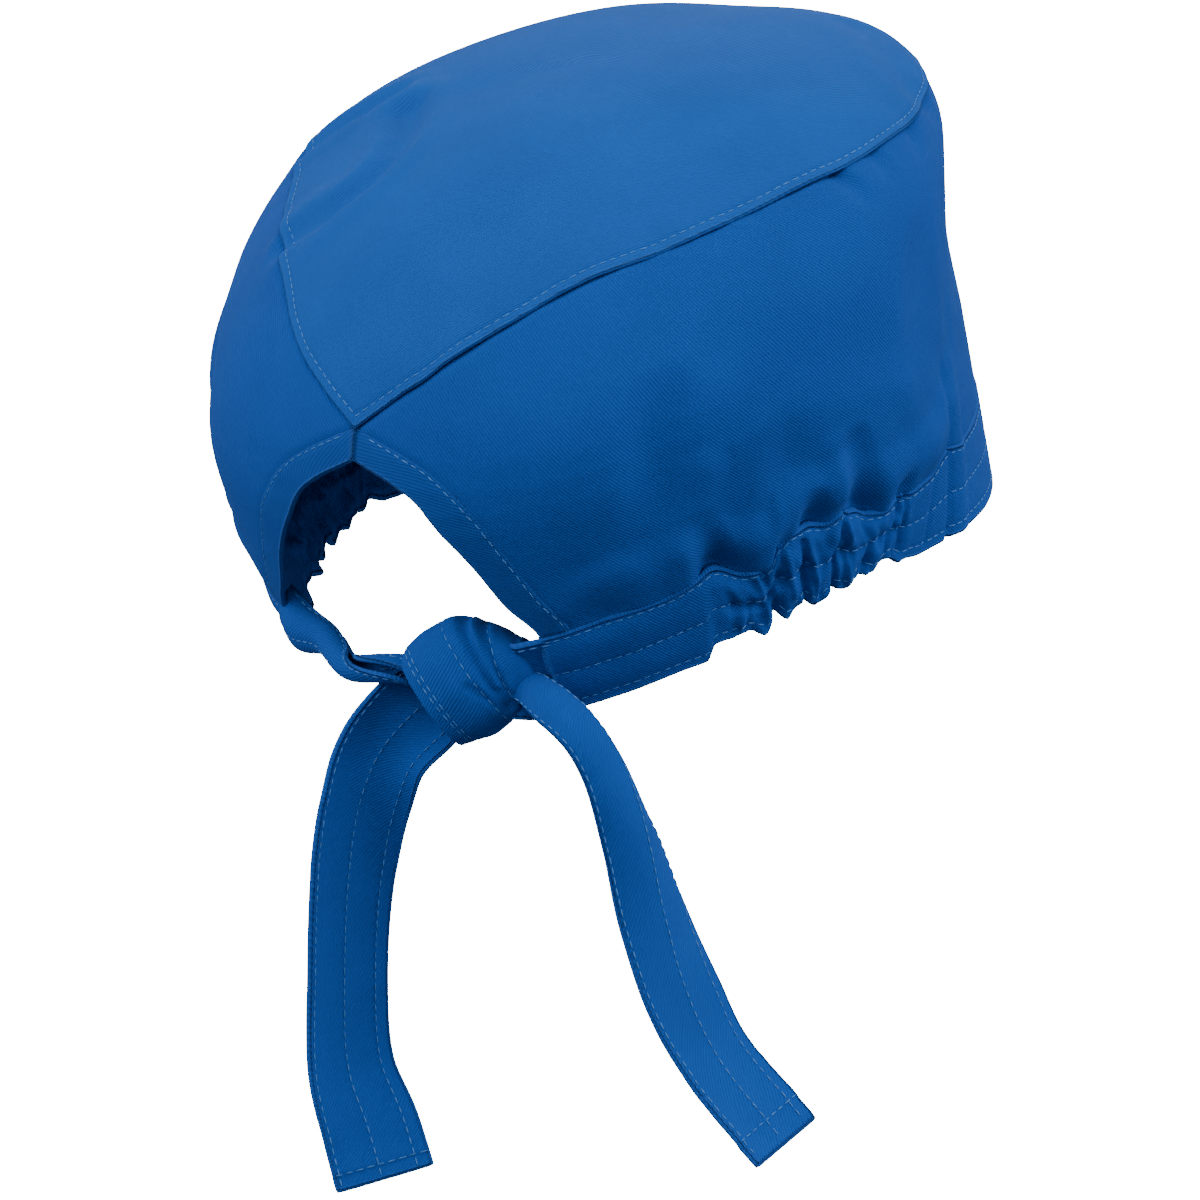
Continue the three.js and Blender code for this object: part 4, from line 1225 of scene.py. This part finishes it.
class SCRUBCAP_OT_stitching(bpy.types.Operator, CapPiece):
    """Sews the topstitching of every seam, hem and casing"""

    bl_idname = "scrubcap.stitching"
    bl_label = "Stitching"

    def execute(self, context):
        sizes = context.scene.scrub_cap_sizes
        u = np.linspace(-1, 1, 700)
        azimuth = round_crown(u)
        fold = crown_seam(azimuth) + seam_wobble(azimuth)
        crown = on_cloth(crown_surface, azimuth, fold - FOLD_INSET / RIM_MM)
        sew("crown_stitches", [(crown[:-1], True)], sizes)

        t = np.linspace(0.03, 0.985, 160)
        w = np.full_like(t, BINDING_ROW)
        rows = [(on_cloth(binding_surface, hand, t, w), False) for hand in (1, -1)]
        sew("binding_stitches", rows, sizes)

        around = spread((BAND_END + 0.6, 180, 0.4))
        around = np.concatenate([around, -around[:-1][::-1]])
        height = (band_bottom(around) - band_top(around)) * RIM_MM
        rows = [(on_cloth(band_surface, around, row), False) for row in band_rows(height)]
        sew("band_stitches", rows, sizes)

        rows = []
        starts = ((tail_left(), 0.06), (tail_right(), 0.07), (tie_left(), 0.1), (tie_right(), 0.12))
        for strip, start in starts:
            times = np.linspace(start, 0.985, 160)
            for row in TIE_ROWS:
                pair = [strip.row(t, np.array([row])) for t in times]
                for depth in (-THREAD_LIFT, strip.thickness + THREAD_LIFT):
                    rows.append((np.array([p[0] - n[0] * depth for p, n in pair]), False))
        for strip in (tail_left(), tail_right()):
            across = np.linspace(-0.92, 0.92, 40)
            p, n = strip.row(1 - HEM_ROW / strip.length, across)
            rows.append((p + n * THREAD_LIFT, False))
            rows.append((p - n * (strip.thickness + THREAD_LIFT), False))
        sew("casing_stitches", rows, sizes)

        turn = np.radians(np.linspace(12, 168, 80))
        rows = []
        for start, end in KNOT_ROWS:
            v = np.cos(turn) * 15
            along = start + (end - start) * smooth(v, -12, 12)
            rows.append((on_cloth(knot_surface, along, turn), False))
        sew("knot_stitches", rows, sizes)
        return {"FINISHED"}


# Stage

CAMERA_DISTANCE = 1.77
CAMERA_TARGET = Vector((0.007, 0, -0.012))
CAMERA_TURN = math.radians(37.5)
CAMERA_RISE = math.radians(8.5)
CAMERA_LENS = 197.1
FLOOR_DROP = 0.42
FLOOR_REACH = 30
WARM_WHITE = (1, 0.99, 0.97)
COOL_WHITE = (0.98, 0.99, 1)


def sun(name, towards, strength, angle, colour):
    data = bpy.data.lights.new(name, "SUN")
    data.energy = strength
    data.angle = math.radians(angle)
    data.color = colour
    light = bpy.data.objects.new(name, data)
    light.matrix_world = Vector(towards).to_track_quat("Z", "Y").to_matrix().to_4x4()
    bpy.context.scene.collection.objects.link(light)


class SCRUBCAP_OT_stage(bpy.types.Operator, CapPiece):
    """Sets up the pale floor, the soft studio light and the camera"""

    bl_idname = "scrubcap.stage"
    bl_label = "Stage"

    def execute(self, context):
        back = Vector((-math.sin(CAMERA_TURN) * math.cos(CAMERA_RISE),
                       math.cos(CAMERA_TURN) * math.cos(CAMERA_RISE), math.sin(CAMERA_RISE)))
        data = bpy.data.cameras.new("photo view")
        data.lens = CAMERA_LENS
        data.sensor_width = 36
        camera = bpy.data.objects.new("photo view", data)
        camera.matrix_world = (Matrix.Translation(CAMERA_TARGET + back * CAMERA_DISTANCE)
                               @ back.to_track_quat("Z", "Y").to_matrix().to_4x4())
        context.scene.collection.objects.link(camera)
        context.scene.camera = camera

        reach = FLOOR_REACH
        mesh = bpy.data.meshes.new("floor")
        corners = [(-reach, -reach), (reach, -reach), (reach, reach), (-reach, reach)]
        mesh.from_pydata([(x, y, -FLOOR_DROP) for x, y in corners], [], [(0, 1, 2, 3)])
        mesh.materials.append(plain_floor())
        floor = bpy.data.objects.new("floor", mesh)
        floor.visible_diffuse = False
        floor.visible_glossy = False
        context.scene.collection.objects.link(floor)

        right = Vector((-math.cos(CAMERA_TURN), -math.sin(CAMERA_TURN), 0))
        up = Vector((0, 0, 1))
        sun("top softbox", up + 0.4 * back, 2.05, 90, WARM_WHITE)
        sun("right softbox", right + 0.25 * back + 0.3 * up, 2.2, 50, COOL_WHITE)
        sun("left softbox", -right + 0.25 * back + 0.3 * up, 2.0, 50, COOL_WHITE)
        sun("fill", back + 0.25 * up, 0.18, 60, COOL_WHITE)
        sun("front softbox", 0.6 * up - back, 0.7, 70, COOL_WHITE)
        world = bpy.data.worlds.new("studio")
        world.use_nodes = True
        world.node_tree.nodes["Background"].inputs[0].default_value = (0.8, 0.86, 1, 1)
        world.node_tree.nodes["Background"].inputs[1].default_value = 0.18
        context.scene.world = world
        return {"FINISHED"}


# Settings, panel and run


class ScrubCapSizes(bpy.types.PropertyGroup):
    panel_wall: FloatProperty(name="Panel wall", description="Thickness of the crown and the side panel",
                              default=0.001, min=0.0003, unit="LENGTH", precision=4)
    binding_wall: FloatProperty(name="Binding wall", description="Thickness of the keyhole facings",
                                default=0.0014, min=0.0003, unit="LENGTH", precision=4)
    band_wall: FloatProperty(name="Band wall", description="Thickness of the hem band",
                             default=0.002, min=0.0003, unit="LENGTH", precision=4)
    stitch_pitch: FloatProperty(name="Stitch pitch", description="From one stitch to the next",
                                default=0.0028, min=0.001, unit="LENGTH", precision=4)
    stitch_length: FloatProperty(name="Stitch length", description="Length of the thread that shows",
                                 default=0.0022, min=0.0005, unit="LENGTH", precision=4)
    thread_thickness: FloatProperty(name="Thread thickness", description="Thickness of the sewing thread",
                                    default=0.00034, min=0.0001, unit="LENGTH", precision=5)


class ScrubCapColours(bpy.types.PropertyGroup):
    # The crown is set a shade lighter than the side panel, though both are the same cloth: painted light, for
    # the top that faces the lamps.
    crown: FloatVectorProperty(name="Crown", description="Twill of the crown", subtype="COLOR",
                               size=3, min=0, max=1, default=linear("#0d51a5"))
    side: FloatVectorProperty(name="Side", description="Twill of the side panel", subtype="COLOR",
                              size=3, min=0, max=1, default=linear("#084a9f"))
    binding: FloatVectorProperty(name="Bindings", description="Twill of the keyhole facings", subtype="COLOR",
                                 size=3, min=0, max=1, default=linear("#094797"))
    band: FloatVectorProperty(name="Band", description="Twill of the hem band", subtype="COLOR",
                              size=3, min=0, max=1, default=linear("#094ba1"))
    tie: FloatVectorProperty(name="Ties", description="Twill of the ties, knot and tails", subtype="COLOR",
                             size=3, min=0, max=1, default=linear("#0a4da4"))
    thread: FloatVectorProperty(name="Thread", description="Sewing thread", subtype="COLOR",
                                size=3, min=0, max=1, default=linear("#4482c8"))


PIECES = (SCRUBCAP_OT_crown, SCRUBCAP_OT_side_panel, SCRUBCAP_OT_bindings, SCRUBCAP_OT_hem_band,
          SCRUBCAP_OT_knot, SCRUBCAP_OT_ties, SCRUBCAP_OT_tails, SCRUBCAP_OT_stitching, SCRUBCAP_OT_stage)


class SCRUBCAP_PT_sidebar(bpy.types.Panel):
    bl_idname = "SCRUBCAP_PT_sidebar"
    bl_label = "Scrub cap"
    bl_space_type = "VIEW_3D"
    bl_region_type = "UI"
    bl_category = "Scrub cap"

    def draw(self, context):
        for group in (context.scene.scrub_cap_sizes, context.scene.scrub_cap_colours):
            for name in group.__annotations__:
                self.layout.prop(group, name)
        for piece in PIECES:
            self.layout.operator(piece.bl_idname)


CLASSES = (ScrubCapSizes, ScrubCapColours, *PIECES, SCRUBCAP_PT_sidebar)


def register():
    for cls in CLASSES:
        bpy.utils.register_class(cls)
    bpy.types.Scene.scrub_cap_sizes = PointerProperty(type=ScrubCapSizes)
    bpy.types.Scene.scrub_cap_colours = PointerProperty(type=ScrubCapColours)


def unregister():
    del bpy.types.Scene.scrub_cap_colours
    del bpy.types.Scene.scrub_cap_sizes
    for cls in reversed(CLASSES):
        bpy.utils.unregister_class(cls)


def main():
    register()
    for step in ("crown", "side_panel", "bindings", "hem_band", "knot", "ties", "tails", "stitching",
                 "stage"):
        getattr(bpy.ops.scrubcap, step)()


if __name__ == "__main__":
    main()
